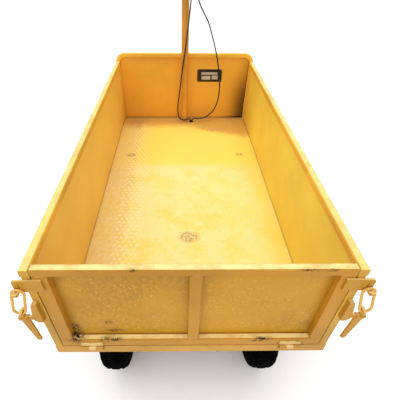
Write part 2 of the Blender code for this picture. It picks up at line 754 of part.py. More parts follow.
def tailgate(paint):
    """Drop tailgate: tubes above and below, folded stiles between them and one recessed sheet."""
    top = RAIL_TOP
    back = TAIL_Y + GATE_STILE_DEPTH
    shape = bmesh.new()
    outer, inner = box_section(TAIL_Y, top - GATE_RAIL_HEIGHT, TAIL_Y + GATE_DEPTH, top)
    add_tube(shape, outer, inner, "x", -GATE_HALF, GATE_HALF)
    frame = make_object("gate_frame", shape, paint)
    shape = bmesh.new()
    outer, inner = box_section(TAIL_Y, GATE_FOOT, back, GATE_FOOT + GATE_FOOT_HEIGHT)
    add_tube(shape, outer, inner, "x", -GATE_HALF, GATE_HALF)
    join_in(frame, make_object("gate_foot_rail", shape, paint))

    bite = SEAT_GAP / 2
    foot = GATE_FOOT + GATE_FOOT_HEIGHT - TUBE_WALL / 2
    head = top - GATE_RAIL_HEIGHT + TUBE_WALL / 2
    stiles = [
        (bite - GATE_HALF, GATE_STILE_WIDTH),
        (CENTRE_STILE_X - CENTRE_STILE_WIDTH / 2, CENTRE_STILE_WIDTH),
        (GATE_HALF - GATE_STILE_WIDTH - bite, GATE_STILE_WIDTH),
    ]
    for index, (low, width) in enumerate(stiles):
        shape = bmesh.new()
        section = channel(low, TAIL_Y + bite, low + width, back - bite, TUBE_WALL, "high_b")
        add_prism(shape, section, "z", foot, head)
        join_in(frame, make_object(f"gate_stile_{index}", shape, paint))

    shape = bmesh.new()
    sheet_top = top - GATE_RAIL_HEIGHT - SEAT_GAP
    outline = rectangle(back + SEAT_GAP, GATE_FOOT, back + SEAT_GAP + SHEET, sheet_top)
    add_prism(shape, outline, "x", -GATE_HALF, GATE_HALF)
    return [frame, make_object("gate_panel", shape, paint)]


def hinges(frame, paint, steel):
    """Two three-knuckle butt hinges, welded on over the seam between tailgate and sill."""
    knuckle = HINGE_LENGTH / HINGE_KNUCKLES
    bore = clear(HINGE_PIN_RADIUS, 12)
    gate_back = TAIL_Y - SEAT_GAP
    front = gate_back - HINGE_LEAF
    sill_back = TAIL_Y + FRAME_SHEET / 4
    sides = 12
    outer = circle(HINGE_Y, HINGE_Z, KNUCKLE_RADIUS, sides, math.pi / sides)
    inner = circle(HINGE_Y, HINGE_Z, bore, sides, math.pi / sides)
    root = math.sqrt(((KNUCKLE_RADIUS + bore) / 2) ** 2 - (front - HINGE_Y) ** 2)
    clear_of = KNUCKLE_RADIUS + KNUCKLE_GAP
    moving = []
    for side, word in ((-1, "left"), (1, "right")):
        start = side * HINGE_X - HINGE_LENGTH / 2
        leaves = {
            1: plate_leaf(f"hinge_leaf_{word}", start, 1, clear_of, front, gate_back, paint),
            -1: plate_leaf(f"sill_leaf_{word}", start, -1, clear_of, front, sill_back, paint),
        }
        for index in range(HINGE_KNUCKLES):
            low = start + knuckle * index + KNUCKLE_GAP / 2
            high = start + knuckle * (index + 1) - KNUCKLE_GAP / 2
            up = 1 if index % 2 else -1
            shape = bmesh.new()
            add_tube(shape, outer, inner, "x", low, high)
            join_in(leaves[up], make_object(f"knuckle_{word}_{index}", shape, paint))
            rows = sorted((HINGE_Z + up * root, HINGE_Z + up * (clear_of + HINGE_LEAF)))
            shape = bmesh.new()
            tab = rectangle(front + SEAT_GAP / 2, rows[0], gate_back - SEAT_GAP / 2, rows[1])
            add_prism(shape, tab, "x", low + SEAT_GAP / 2, high - SEAT_GAP / 2)
            join_in(leaves[up], make_object(f"tab_{word}_{index}", shape, paint))
        join_in(frame, leaves[-1])
        moving.append(leaves[1])
        shape = bmesh.new()
        pin = circle(HINGE_Y, HINGE_Z, HINGE_PIN_RADIUS, sides, math.pi / sides)
        add_prism(shape, pin, "x", start, start + HINGE_LENGTH)
        make_object(f"hinge_pin_{word}", shape, steel, smooth=True)
    return moving


def plate_leaf(name, start, up, clear_of, front, back, paint):
    """Flat leaf of one hinge half."""
    rows = sorted((HINGE_Z + up * clear_of, HINGE_Z + up * HINGE_LEAF_HEIGHT))
    shape = bmesh.new()
    add_prism(shape, rectangle(front, rows[0], back, rows[1]), "x", start, start + HINGE_LENGTH)
    return make_object(name, shape, paint)


def latch_keeper(side, paint):
    """Plate welded across the gate's stile; a slit frees a finger that bends forward as a hook."""
    word = "right" if side > 0 else "left"
    shape = bmesh.new()
    top = RAIL_TOP - KEEPER_DROP
    foot = top - KEEPER_HEIGHT
    slit_x = KEEPER_OUTER_X - FINGER_WIDTH
    bend_z = top - FINGER_BEND_DROP
    slit_top = top - FINGER_SLIT_DROP
    outline = [
        (KEEPER_INNER_X, foot), (slit_x - FINGER_SLIT, foot), (slit_x - FINGER_SLIT, slit_top),
        (slit_x, slit_top), (slit_x, bend_z), (KEEPER_OUTER_X, bend_z),
        (KEEPER_OUTER_X, top - KEEPER_CORNER), (KEEPER_OUTER_X - KEEPER_CORNER, top),
        (KEEPER_INNER_X, top),
    ]
    back = TAIL_Y - SEAT_GAP
    add_prism(shape, [(side * x, z) for x, z in outline], "y", back - KEEPER_THICKNESS, back)
    keeper = make_object(f"latch_keeper_{word}", shape, paint)

    half = KEEPER_THICKNESS / 2
    middle_y = back - half
    low_z = FINGER_TOP - half
    tip_y = TAIL_Y - FINGER_REACH + half
    skin = SEAT_GAP / 2
    x = side * FINGER_X
    corners = [
        (x, middle_y, bend_z + FINGER_WELD), (x, middle_y, low_z),
        (x, tip_y, low_z), (x, tip_y, FINGER_TOP + FINGER_LIP),
    ]
    section = rectangle(skin - half, skin - FINGER_WIDTH / 2, half - skin, FINGER_WIDTH / 2 - skin)
    finger = bmesh.new()
    add_swept(finger, bent_path(corners, FINGER_BEND, 4), section, (1, 0, 0))
    join_in(keeper, make_object(f"keeper_finger_{word}", finger, paint))
    return keeper


def latch_ring(side, paint):
    """Oval bail of round bar that hangs in the keeper's hook and leans outwards."""
    top = RING_PIVOT_Z + RING_SAG
    straight = RING_LENGTH - RING_WIDTH
    lean = Vector((side * math.sin(RING_LEAN), 0, -math.cos(RING_LEAN)))
    across = Vector((math.cos(RING_LEAN), 0, side * math.sin(RING_LEAN)))
    upper = Vector((side * FINGER_X, RING_Y, top - RING_ARC))
    lower = upper + lean * straight
    path = []
    steps = 12
    for centre, direction in ((upper, -1), (lower, 1)):
        for step in range(steps + 1):
            angle = math.pi * step / steps
            path.append(centre - direction * across * RING_ARC * math.cos(angle)
                        + direction * lean * RING_ARC * math.sin(angle))
    shape = bmesh.new()
    section = circle(0, 0, RING_BAR / 2, 8, math.pi / 8)
    add_swept(shape, path, section, (0, 1, 0), closed=True)
    word = "right" if side > 0 else "left"
    return make_object(f"latch_ring_{word}", shape, paint, smooth=True)


def ring_foot(side):
    """Middle of the ring's lowest bar."""
    reach = RING_LENGTH - RING_WIDTH + RING_ARC
    x = side * (FINGER_X + reach * math.sin(RING_LEAN))
    z = RING_PIVOT_Z + RING_SAG - RING_ARC - reach * math.cos(RING_LEAN)
    return x, z


def latch_lever(side, paint):
    """Toggle lever: a bored barrel, a claw over the ring's lower bar and a tapered handle."""
    foot_x, foot_z = ring_foot(side)
    head_x = foot_x - side * LEVER_HEAD_OFFSET
    word = "right" if side > 0 else "left"
    low = head_x - LEVER_HEAD_WIDTH / 2
    high = head_x + LEVER_HEAD_WIDTH / 2
    shape = bmesh.new()
    add_prism(shape, circle(RING_Y, LATCH_PIN_Z, LEVER_BARREL_RADIUS, 16, math.pi / 16), "x", low, high)
    lever = make_object(f"latch_lever_{word}", shape, paint, smooth=True)

    tip_x = head_x - side * LEVER_LENGTH * math.sin(LEVER_LEAN)
    tip_z = LATCH_PIN_Z - LEVER_LENGTH * math.cos(LEVER_LEAN)
    shoulder = LATCH_PIN_Z - LEVER_BARREL_RADIUS / 2
    blade = [
        (low + SEAT_GAP, shoulder), (tip_x - LEVER_TIP_WIDTH / 2, tip_z + LEVER_TIP_WIDTH / 4),
        (tip_x - LEVER_TIP_WIDTH / 4, tip_z), (tip_x + LEVER_TIP_WIDTH / 4, tip_z),
        (tip_x + LEVER_TIP_WIDTH / 2, tip_z + LEVER_TIP_WIDTH / 4), (high - SEAT_GAP, shoulder),
    ]
    shape = bmesh.new()
    half = LEVER_THICKNESS / 2
    add_prism(shape, blade, "y", RING_Y - half, RING_Y + half)
    join_in(lever, make_object(f"blade_{word}", shape, paint))

    claw = claw_outline(foot_z - LATCH_PIN_Z)
    shape = bmesh.new()
    add_prism(shape, claw, "x", head_x - CLAW_WIDTH / 2, head_x + CLAW_WIDTH / 2)
    join_in(lever, make_object(f"claw_{word}", shape, paint))
    drill(lever, "x", (head_x, RING_Y, LATCH_PIN_Z), clear(LATCH_PIN_RADIUS, 12), 2 * LEVER_HEAD_WIDTH, 12)
    return lever


def claw_outline(bar_height):
    """Hook whose slot is an arc about the lever's pin, so the lever turns clear of the bar."""
    slot_low = bar_height - RING_BAR / 2 - CLAW_CLEARANCE
    slot_high = bar_height + RING_BAR / 2 + CLAW_CLEARANCE
    crown = slot_high + CLAW_LIP
    steps = 5

    def arc(radius, start, end):
        turns = [start + (end - start) * step / steps for step in range(steps + 1)]
        return [(RING_Y - radius * math.cos(turn), LATCH_PIN_Z + radius * math.sin(turn)) for turn in turns]

    root = LEVER_BARREL_RADIUS / 2
    outline = [(RING_Y - root, LATCH_PIN_Z + root), (RING_Y + root, LATCH_PIN_Z + root)]
    outline += arc(crown, CLAW_BACK, CLAW_SLOT_FRONT)
    outline += arc(slot_high, CLAW_SLOT_FRONT, CLAW_SLOT_BACK)
    outline += arc(slot_low, CLAW_SLOT_BACK, CLAW_SLOT_FRONT)
    return outline


def latch_lug(side, paint):
    """Lug welded on a rear corner post, with the headed pin that it carries."""
    word = "right" if side > 0 else "left"
    top = LATCH_PIN_Z + LUG_HEIGHT * LUG_SHARE
    foot = top - LUG_HEIGHT
    belly = LATCH_PIN_Z
    outline = [
        (LUG_INNER_X, foot), (HALF_WIDTH - SEAT_GAP, foot), (LUG_OUTER_X, belly - LEVER_BARREL_RADIUS),
        (LUG_OUTER_X, belly + LEVER_BARREL_RADIUS), (HALF_WIDTH + SEAT_GAP, top - KEEPER_CORNER),
        (HALF_WIDTH - KEEPER_CORNER, top), (LUG_INNER_X, top),
    ]
    back = TAIL_Y - SEAT_GAP
    shape = bmesh.new()
    add_prism(shape, [(side * x, z) for x, z in outline], "y", back - LUG_DEPTH, back)
    lug = make_object(f"latch_lug_{word}", shape, paint)

    foot_x, _ = ring_foot(1)
    barrel_start = foot_x - LEVER_HEAD_OFFSET - LEVER_HEAD_WIDTH / 2
    barrel_end = barrel_start + LEVER_HEAD_WIDTH
    shoulder = barrel_start - RUNNING_GAP
    head = barrel_end + RUNNING_GAP
    root = LUG_OUTER_X - LATCH_PIN_RADIUS
    radius = LATCH_PIN_RADIUS
    collar = PIN_HEAD_RATIO * radius
    profile = [
        (0, root), (collar, root), (collar, shoulder), (radius, shoulder), (radius, head),
        (collar, head), (collar, head + radius / 2), (0, head + radius / 2),
    ]
    shape = bmesh.new()
    add_turned(shape, [(r, side * x) for r, x in profile], "x", (0, RING_Y, LATCH_PIN_Z), 12, closed=False)
    join_in(lug, make_object(f"latch_pin_{word}", shape, paint, smooth=True))


def wheel(word, side, axle_y, drum, black, rim_paint, steel):
    """Pneumatic tyre on a pressed disc wheel, whose welded hub turns on its spindle."""
    half = TYRE_WIDTH / 2
    bead = RIM_WIDTH / 2 - RIM_SHEET - SEAT_GAP
    crown = TYRE_RADIUS
    bed = clear(BEAD_RADIUS, TYRE_SIDES, SEAT_GAP)
    cheek = bed + TYRE_SECTION * 0.48
    shoulder = crown - TYRE_SECTION * 0.10
    groove = crown - TYRE_GROOVE
    outside = [
        (bed, bead), (BEAD_RADIUS + RIM_LIP + SHEET, bead), (cheek, half), (shoulder, half * 0.80),
        (crown, half * 0.45), (groove, half * 0.38), (crown, half * 0.30),
    ]
    inside = [(bed, bead - TYRE_WALL), (cheek, half - TYRE_WALL), (crown - 1.6 * TYRE_WALL, half * 0.62)]
    profile = outside + [(r, -x) for r, x in reversed(outside)]
    profile += [(r, -x) for r, x in inside] + list(reversed(inside))
    centre = (side * WHEEL_X, axle_y, AXLE_Z)
    shape = bmesh.new()
    add_turned(shape, profile, "x", centre, TYRE_SIDES)
    tyre = make_object(f"tyre_{word}", shape, black, smooth=True)

    lip = BEAD_RADIUS + RIM_LIP
    flange = RIM_WIDTH / 2
    sheet = RIM_SHEET
    disc = side * RIM_DISC_X
    collar = SPINDLE_RADIUS + HUB_WALL
    hole = collar - SEAT_GAP
    dish = 4 * SPINDLE_RADIUS
    under = BEAD_RADIUS - sheet
    profile = [
        (lip, -flange), (lip, -flange + sheet), (BEAD_RADIUS, -flange + sheet), (BEAD_RADIUS, flange - sheet),
        (lip, flange - sheet), (lip, flange), (under, flange), (under, sheet / 2), (dish, disc + sheet / 2),
        (hole, disc + sheet / 2), (hole, disc - sheet / 2), (dish, disc - sheet / 2), (under, -sheet / 2),
        (under, -flange),
    ]
    shape = bmesh.new()
    add_turned(shape, profile, "x", centre, RIM_SIDES)
    rim = make_object(f"rim_{word}", shape, rim_paint, smooth=True)
    for index in range(HAND_HOLES):
        angle = 2 * math.pi * (index + 0.5) / HAND_HOLES
        hole_y = axle_y + HAND_HOLE_CIRCLE * math.cos(angle)
        spot = (centre[0], hole_y, AXLE_Z + HAND_HOLE_CIRCLE * math.sin(angle))
        drill(rim, "x", spot, HAND_HOLE_RADIUS, RIM_WIDTH / 2, 6)

    face = disc - side * (sheet / 2 - SEAT_GAP)
    inner_end = -side * (HUB_LENGTH - RIM_DISC_X)
    bore = clear(SPINDLE_RADIUS, RIM_SIDES)
    cap_base = disc + side * HUB_CAP
    cap_top = cap_base + side * SPINDLE_RADIUS / 2
    seat = cap_base - side * SPINDLE_RADIUS / 3
    profile = [(0, seat), (bore, seat), (bore, inner_end), (collar, inner_end)]
    if drum:
        inside = DRUM_RADIUS - HUB_WALL
        profile += [(collar, face - side * HUB_WALL), (inside, face - side * HUB_WALL),
                    (inside, face - side * DRUM_DEPTH), (DRUM_RADIUS, face - side * DRUM_DEPTH),
                    (DRUM_RADIUS, face)]
    else:
        profile += [(collar, face - side * 2 * HUB_WALL), (HUB_RADIUS, face - side * HUB_WALL),
                    (HUB_RADIUS, face)]
    profile += [(collar, face), (collar, cap_base), (collar * 0.7, cap_top), (0, cap_top)]
    shape = bmesh.new()
    add_turned(shape, profile, "x", centre, RIM_SIDES, closed=False)
    join_in(rim, make_object(f"hub_{word}", shape, steel, smooth=True))
    return [tyre, rim], centre


def axle_parts(paint, steel, dark):
    """Front beam with kingpins, rear axle with its differential and motor."""
    half = BEAM_SIZE / 2
    reach = KINGPIN_X - EYE_RADIUS / 2
    shape = bmesh.new()
    square = rectangle(FRONT_AXLE_Y - half, AXLE_Z - half, FRONT_AXLE_Y + half, AXLE_Z + half)
    outline = rounded(square, BEAM_CORNER, 2)
    add_prism(shape, outline, "x", -reach, reach)
    beam = make_object("front_axle", shape, paint)
    for side in (-1, 1):
        shape = bmesh.new()
        outline = circle(side * KINGPIN_X, FRONT_AXLE_Y, EYE_RADIUS, 20, math.pi / 20)
        add_prism(shape, outline, "z", AXLE_Z - EYE_HEIGHT / 2, AXLE_Z + EYE_HEIGHT / 2)
        join_in(beam, make_object(f"beam_eye_{side}", shape, paint))
    for side in (-1, 1):
        centre = (side * KINGPIN_X, FRONT_AXLE_Y, AXLE_Z)
        drill(beam, "z", centre, clear(KINGPIN_RADIUS, 12, SEAT_GAP), 2 * EYE_HEIGHT, 12)
    tube = AXLE_TUBE_RADIUS
    bulb = DIFF_RADIUS
    wide = DIFF_HALF_WIDTH
    flange = BRAKE_PLATE_RADIUS
    end = AXLE_HALF_LENGTH
    plate = end - BRAKE_PLATE_DEPTH
    half_profile = [(bulb, DIFF_FACE), (bulb * 0.9, wide * 0.62), (tube + DIFF_NECK, wide),
                    (tube, wide + DIFF_NECK), (tube, plate), (flange, plate), (flange, end)]
    spindle_end = WHEEL_X + RIM_DISC_X + SPINDLE_STANDOUT
    spindle = [(SPINDLE_RADIUS, end), (SPINDLE_RADIUS, spindle_end), (0, spindle_end)]
    right = half_profile + spindle
    profile = [(r, -x) for r, x in reversed(right)] + right
    shape = bmesh.new()
    add_turned(shape, profile, "x", (0, REAR_AXLE_Y, AXLE_Z), 16, closed=False)
    rear = make_object("rear_axle", shape, dark, smooth=True)
    for side in (-1, 1):
        seat = bmesh.new()
        low = side * CHASSIS_RAIL_X - LEAF_WIDTH / 2
        pad = rectangle(low, REAR_AXLE_Y - half, low + LEAF_WIDTH, REAR_AXLE_Y + half)
        add_prism(seat, pad, "z", AXLE_Z + tube * 0.7, SPRING_SEAT_HEIGHT)
        join_in(rear, make_object(f"axle_seat_{side}", seat, dark))

    start = REAR_AXLE_Y + DIFF_RADIUS + SEAT_GAP
    stop = start + MOTOR_LENGTH
    bell = MOTOR_RADIUS + MOTOR_BELL_RISE
    bell_end = start + MOTOR_BELL_LENGTH
    motor = [(0, start), (bell * 0.7, start), (bell, start + MOTOR_NOSE), (bell, bell_end),
             (MOTOR_RADIUS, bell_end + MOTOR_BELL_STEP), (MOTOR_RADIUS, stop - MOTOR_END_LENGTH),
             (MOTOR_RADIUS - MOTOR_END_TAPER, stop), (0, stop)]
    shape = bmesh.new()
    add_turned(shape, motor, "y", (0, 0, AXLE_Z), 20, closed=False)
    make_object("drive_motor", shape, dark, smooth=True)


def knuckles(steel):
    """Forked stub axles on the kingpins, with the arms that the two steering links turn."""
    ear_low = AXLE_Z + EYE_HEIGHT / 2 + RUNNING_GAP
    ear_high = ear_low + EAR_THICKNESS
    mouth = EYE_RADIUS + 2 * RUNNING_GAP
    web = mouth + EAR_THICKNESS
    throat = KINGPIN_RADIUS * 2
    half_height = ear_high - AXLE_Z
    half_gap = ear_low - AXLE_Z
    carried = {}
    for side in (-1, 1):
        word = "right" if side > 0 else "left"
        near = side * (KINGPIN_X - throat)
        inner = side * (KINGPIN_X + mouth)
        outer = side * (KINGPIN_X + web)
        fork = [
            (near, AXLE_Z - half_height), (outer, AXLE_Z - half_height), (outer, AXLE_Z + half_height),
            (near, AXLE_Z + half_height), (near, AXLE_Z + half_gap), (inner, AXLE_Z + half_gap),
            (inner, AXLE_Z - half_gap), (near, AXLE_Z - half_gap),
        ]
        shape = bmesh.new()
        add_prism(shape, fork, "y", FRONT_AXLE_Y - YOKE_DEPTH / 2, FRONT_AXLE_Y + YOKE_DEPTH / 2)
        knuckle = make_object(f"knuckle_{word}", shape, steel)

        tip = WHEEL_X + RIM_DISC_X + EAR_THICKNESS
        radius = SPINDLE_RADIUS
        spindle = [(0, KINGPIN_X + mouth + radius / 4), (1.6 * radius, KINGPIN_X + mouth + radius / 4),
                   (1.6 * radius, KINGPIN_X + web + radius / 4), (radius, KINGPIN_X + web + radius / 4),
                   (radius, tip), (0, tip)]
        shape = bmesh.new()
        turned = [(r, side * x) for r, x in spindle]
        add_turned(shape, turned, "x", (0, FRONT_AXLE_Y, AXLE_Z), 12, closed=False)
        join_in(knuckle, make_object(f"spindle_{word}", shape, steel, smooth=True))

        low_arm = AXLE_Z - half_height
        add_arm(knuckle, f"tie_arm_{word}", side * KINGPIN_X, FRONT_AXLE_Y, -TIE_ARM_LENGTH, low_arm, steel)
        if side > 0:
            add_arm(knuckle, "link_arm", KINGPIN_X, FRONT_AXLE_Y, STEERING_ARM_LENGTH, ear_low, steel)
        pin = [(0, -1), (KINGPIN_RADIUS, -1), (KINGPIN_RADIUS, 1), (0, 1)]
        span = half_height + KINGPIN_RADIUS / 4
        shape = bmesh.new()
        centre = (side * KINGPIN_X, FRONT_AXLE_Y, AXLE_Z)
        add_turned(shape, [(r, reach * span) for r, reach in pin], "z", centre, 12, closed=False)
        join_in(knuckle, make_object(f"kingpin_{word}", shape, steel, smooth=True))
        carried[word] = knuckle
    return carried, low_arm, ear_low


def add_arm(target, name, x, y, reach, low, steel):
    """Forged arm along Y whose stud hangs down at its far end and ends in a nut."""
    skin = SEAT_GAP
    half = ARM_WIDTH / 2
    away = math.copysign(1, reach)
    outline = [(x - half, y), (x - half * 0.8, y + reach)]
    steps = 6
    for step in range(1, steps):
        angle = math.pi * step / steps
        outline.append((x - half * 0.8 * math.cos(angle), y + reach + away * half * 0.8 * math.sin(angle)))
    outline += [(x + half * 0.8, y + reach), (x + half, y)]
    shape = bmesh.new()
    add_prism(shape, outline, "z", low + skin, low + EAR_THICKNESS - skin)
    join_in(target, make_object(name, shape, steel))
    stud = STUD_RADIUS
    nut = PIN_HEAD_RATIO * stud
    foot = low - LINK_EYE_HEIGHT - 3 * RUNNING_GAP
    profile = [(0, low + EAR_THICKNESS / 2), (stud, low + EAR_THICKNESS / 2), (stud, foot), (nut, foot),
               (nut, foot - STUD_NUT_HEIGHT), (0, foot - STUD_NUT_HEIGHT)]
    shape = bmesh.new()
    add_turned(shape, profile, "z", (x, y + reach, 0), 12, closed=False)
    join_in(target, make_object(f"{name}_stud", shape, steel, smooth=True))


def link(name, start, end, arm_low, steel):
    """Round rod with a bored eye on the stud at each end."""
    middle_z = arm_low - RUNNING_GAP - LINK_EYE_HEIGHT / 2
    a = Vector((*start, middle_z))
    b = Vector((*end, middle_z))
    along = (b - a).normalized()
    shape = bmesh.new()
    section = circle(0, 0, LINK_RADIUS * 0.9, 8, math.pi / 8)
    inset = LINK_EYE_RADIUS * 0.8
    add_swept(shape, [a + along * inset, b - along * inset], section, (0, 0, 1))
    rod = make_object(name, shape, steel, smooth=True)
    for index, point in enumerate((a, b)):
        shape = bmesh.new()
        outline = circle(point.x, point.y, LINK_EYE_RADIUS, 16, math.pi / 16)
        add_prism(shape, outline, "z", point.z - LINK_EYE_HEIGHT / 2, point.z + LINK_EYE_HEIGHT / 2)
        join_in(rod, make_object(f"{name}_eye_{index}", shape, steel, smooth=True))
    for point in (a, b):
        drill(rod, "z", point, clear(STUD_RADIUS, 12), 2 * LINK_EYE_HEIGHT, 12)
    return rod


def leaf_arc(radius, reach, steps=10):
    """Points of an arc about the rear springs' common centre, from one end to the other."""
    limit = math.asin(min(reach / radius, 1))
    points = []
    for step in range(steps + 1):
        angle = -limit + 2 * limit * step / steps
        points.append((REAR_AXLE_Y + radius * math.sin(angle), SPRING_CENTRE_Z - radius * math.cos(angle)))
    return points


def leaf_point(leaf, end):
    """Middle of one leaf's thickness at its front (1) or rear (-1) end."""
    radius = SPRING_ARC + leaf * LEAF_THICKNESS
    points = leaf_arc(radius, SPRING_SPAN / 2 * (1 - LEAF_STEP * leaf))
    return points[-1] if end > 0 else points[0]


def leaf_top(reach):
    """Height of the longest leaf's upper face at a distance from the axle."""
    return SPRING_CENTRE_Z - math.sqrt((SPRING_ARC - LEAF_THICKNESS / 2) ** 2 - reach ** 2)


def spring_eye():
    """Centre of the eye rolled in the front end of the longest leaf."""
    y, z = leaf_point(0, 1)
    lift = SPRING_EYE_RADIUS - LEAF_THICKNESS / 2
    lean = math.asin(min(SPRING_SPAN / 2 / SPRING_ARC, 1))
    return y - lift * math.sin(lean), z + lift * math.cos(lean)


def leaf_springs(steel, bolt_steel):
    """Semi-elliptic packs over the rear axle, each with two U-bolts and a clamp plate."""
    half = LEAF_WIDTH / 2
    thick = LEAF_THICKNESS
    reaches = [SPRING_SPAN / 2 * (1 - LEAF_STEP * leaf) for leaf in range(SPRING_LEAVES)]
    outline = leaf_arc(SPRING_ARC - thick / 2, reaches[0], 12)
    ahead = []
    behind = []
    for leaf, reach in enumerate(reaches):
        radius = SPRING_ARC + thick * (leaf + 0.5)
        last = leaf == SPRING_LEAVES - 1
        points = leaf_arc(radius, reach, 6 if last else 12)
        shorter = 0 if last else reaches[leaf + 1]
        ahead += [point for point in reversed(points) if point[0] - REAR_AXLE_Y > shorter + SEAT_GAP]
        behind += [point for point in points if REAR_AXLE_Y - point[0] > shorter + SEAT_GAP]
        if not last:
            limit = math.asin(shorter / radius)
            y = radius * math.sin(limit)
            z = SPRING_CENTRE_Z - radius * math.cos(limit)
            ahead.append((REAR_AXLE_Y + y, z))
            behind.append((REAR_AXLE_Y - y, z))
        else:
            ahead.append((REAR_AXLE_Y, SPRING_CENTRE_Z - radius))
    outline += ahead + list(reversed(behind))
    eye_y, eye_z = spring_eye()
    for side, word in ((-1, "left"), (1, "right")):
        x = side * CHASSIS_RAIL_X
        shape = bmesh.new()
        add_prism(shape, outline, "x", x - half, x + half)
        spring = make_object(f"leaf_spring_{word}", shape, steel)
        shape = bmesh.new()
        ring = circle(eye_y, eye_z, SPRING_EYE_RADIUS, 16, math.pi / 16)
        add_prism(shape, ring, "x", x - half + SEAT_GAP / 2, x + half - SEAT_GAP / 2)
        join_in(spring, make_object(f"spring_eye_{word}", shape, steel))
        drill(spring, "x", (x, eye_y, eye_z), clear(SPRING_PIN_RADIUS, 12), 2 * LEAF_WIDTH, 12)
        spring_clamp(word, x, bolt_steel)


def spring_clamp(word, x, steel):
    """Two U-bolts over a spring and the plate that they pull up under the axle."""
    half = LEAF_WIDTH / 2
    base = AXLE_Z - AXLE_TUBE_RADIUS - SEAT_GAP
    low = base - SPRING_PLATE
    leg = half + U_BOLT_RADIUS + 2 * RUNNING_GAP
    rim = leg + 2.4 * U_BOLT_RADIUS
    reach = U_BOLT_SPACING / 2 + 2.4 * U_BOLT_RADIUS
    shape = bmesh.new()
    plate = rounded(rectangle(x - rim, REAR_AXLE_Y - reach, x + rim, REAR_AXLE_Y + reach), U_BOLT_RADIUS, 2)
    add_prism(shape, plate, "z", low, base)
    clamp = make_object(f"spring_clamp_{word}", shape, steel)
    crown = leaf_top(U_BOLT_SPACING / 2 + U_BOLT_RADIUS) + 3 * SEAT_GAP + U_BOLT_RADIUS
    tip = low - 3 * U_BOLT_RADIUS
    for index, end in enumerate((-1, 1)):
        y = REAR_AXLE_Y + end * U_BOLT_SPACING / 2
        corners = [(x - leg, y, tip), (x - leg, y, crown), (x + leg, y, crown), (x + leg, y, tip)]
        shape = bmesh.new()
        round_bar = circle(0, 0, U_BOLT_RADIUS, 6, math.pi / 6)
        add_swept(shape, bent_path(corners, 1.6 * U_BOLT_RADIUS, 2), round_bar, (0, 1, 0))
        join_in(clamp, make_object(f"u_bolt_{word}_{index}", shape, steel, smooth=True))
        for corner, leg_x in enumerate((x - leg, x + leg)):
            shape = bmesh.new()
            hexagon = circle(leg_x, y, 2 * U_BOLT_RADIUS, 6)
            add_prism(shape, hexagon, "z", low - 1.6 * U_BOLT_RADIUS, low + U_BOLT_RADIUS / 4)
            join_in(clamp, make_object(f"u_bolt_nut_{word}_{index}_{corner}", shape, steel))


def drive_pack(dark, black, alloy):
    """Traction battery in a hung tray, and the finned controller under the deck."""
    half_x = BATTERY_WIDTH / 2 + TRAY_CLEARANCE
    half_y = BATTERY_LENGTH / 2 + TRAY_CLEARANCE
    top = CHASSIS_BOTTOM - SEAT_GAP
    lug = BATTERY_HEIGHT * 0.05
    floor = top - BATTERY_HEIGHT - 1.5 * lug
    corner = TRAY_CLEARANCE
    inner_box = rectangle(-half_x, BATTERY_Y - half_y, half_x, BATTERY_Y + half_y)
    wide_x = half_x + TRAY_SHEET
    wide_y = half_y + TRAY_SHEET
    outer_box = rectangle(-wide_x, BATTERY_Y - wide_y, wide_x, BATTERY_Y + wide_y)
    shape = bmesh.new()
    outer = rounded(outer_box, corner + TRAY_SHEET)
    add_tube(shape, outer, rounded(inner_box, corner), "z", floor - TRAY_SHEET, top, TRAY_SHEET)
    tray = make_object("battery_tray", shape, dark)
    lip_x = wide_x + TRAY_FLANGE
    lip_y = wide_y + TRAY_FLANGE
    lip_box = rectangle(-lip_x, BATTERY_Y - lip_y, lip_x, BATTERY_Y + lip_y)
    inset = TRAY_SHEET / 2
    hole_box = rectangle(inset - wide_x, BATTERY_Y - wide_y + inset,
                         wide_x - inset, BATTERY_Y + wide_y - inset)
    shape = bmesh.new()
    hole = rounded(hole_box, corner + inset)
    add_tube(shape, rounded(lip_box, corner), hole, "z", top - TRAY_SHEET, top - inset / 4)
    join_in(tray, make_object("tray_flange", shape, dark))

    step = LID_STEP
    low_x = -BATTERY_WIDTH / 2
    low_y = BATTERY_Y - BATTERY_LENGTH / 2
    case_box = rectangle(low_x + step, low_y + step, -low_x - step, low_y + BATTERY_LENGTH - step)
    case = rounded(case_box, corner, 3)
    lid = rounded(rectangle(low_x, low_y, -low_x, low_y + BATTERY_LENGTH), corner, 3)
    base = floor + SEAT_GAP
    seam = base + BATTERY_HEIGHT * 0.8
    brim = base + BATTERY_HEIGHT
    shape = bmesh.new()
    add_stack(shape, [(case, base), (case, seam), (lid, seam + step), (lid, brim)])
    battery = make_object("battery_pack", shape, black)
    for index, share in enumerate((0.2, 0.8)):
        post = circle(low_x + BATTERY_WIDTH * share, low_y + BATTERY_LENGTH * 0.12, 1.2 * lug, 12)
        shape = bmesh.new()
        add_prism(shape, post, "z", brim - lug, brim + lug)
        join_in(battery, make_object(f"battery_post_{index}", shape, black))

    half = CONTROLLER_WIDTH / 2
    roof = DECK_TOP - DECK_THICKNESS - SEAT_GAP
    belly = roof - CONTROLLER_HEIGHT
    comb = [(half, roof), (-half, roof)]
    pitch = CONTROLLER_WIDTH / (2 * CONTROLLER_FINS - 1)
    for index in range(CONTROLLER_FINS):
        low = -half + 2 * index * pitch
        if index:
            comb.append((low, belly))
        comb += [(low, belly - CONTROLLER_FIN), (low + pitch, belly - CONTROLLER_FIN)]
        if index < CONTROLLER_FINS - 1:
            comb.append((low + pitch, belly))
    shape = bmesh.new()
    add_prism(shape, comb, "y", CONTROLLER_Y - CONTROLLER_LENGTH / 2, CONTROLLER_Y + CONTROLLER_LENGTH / 2)
    make_object("controller", shape, alloy)


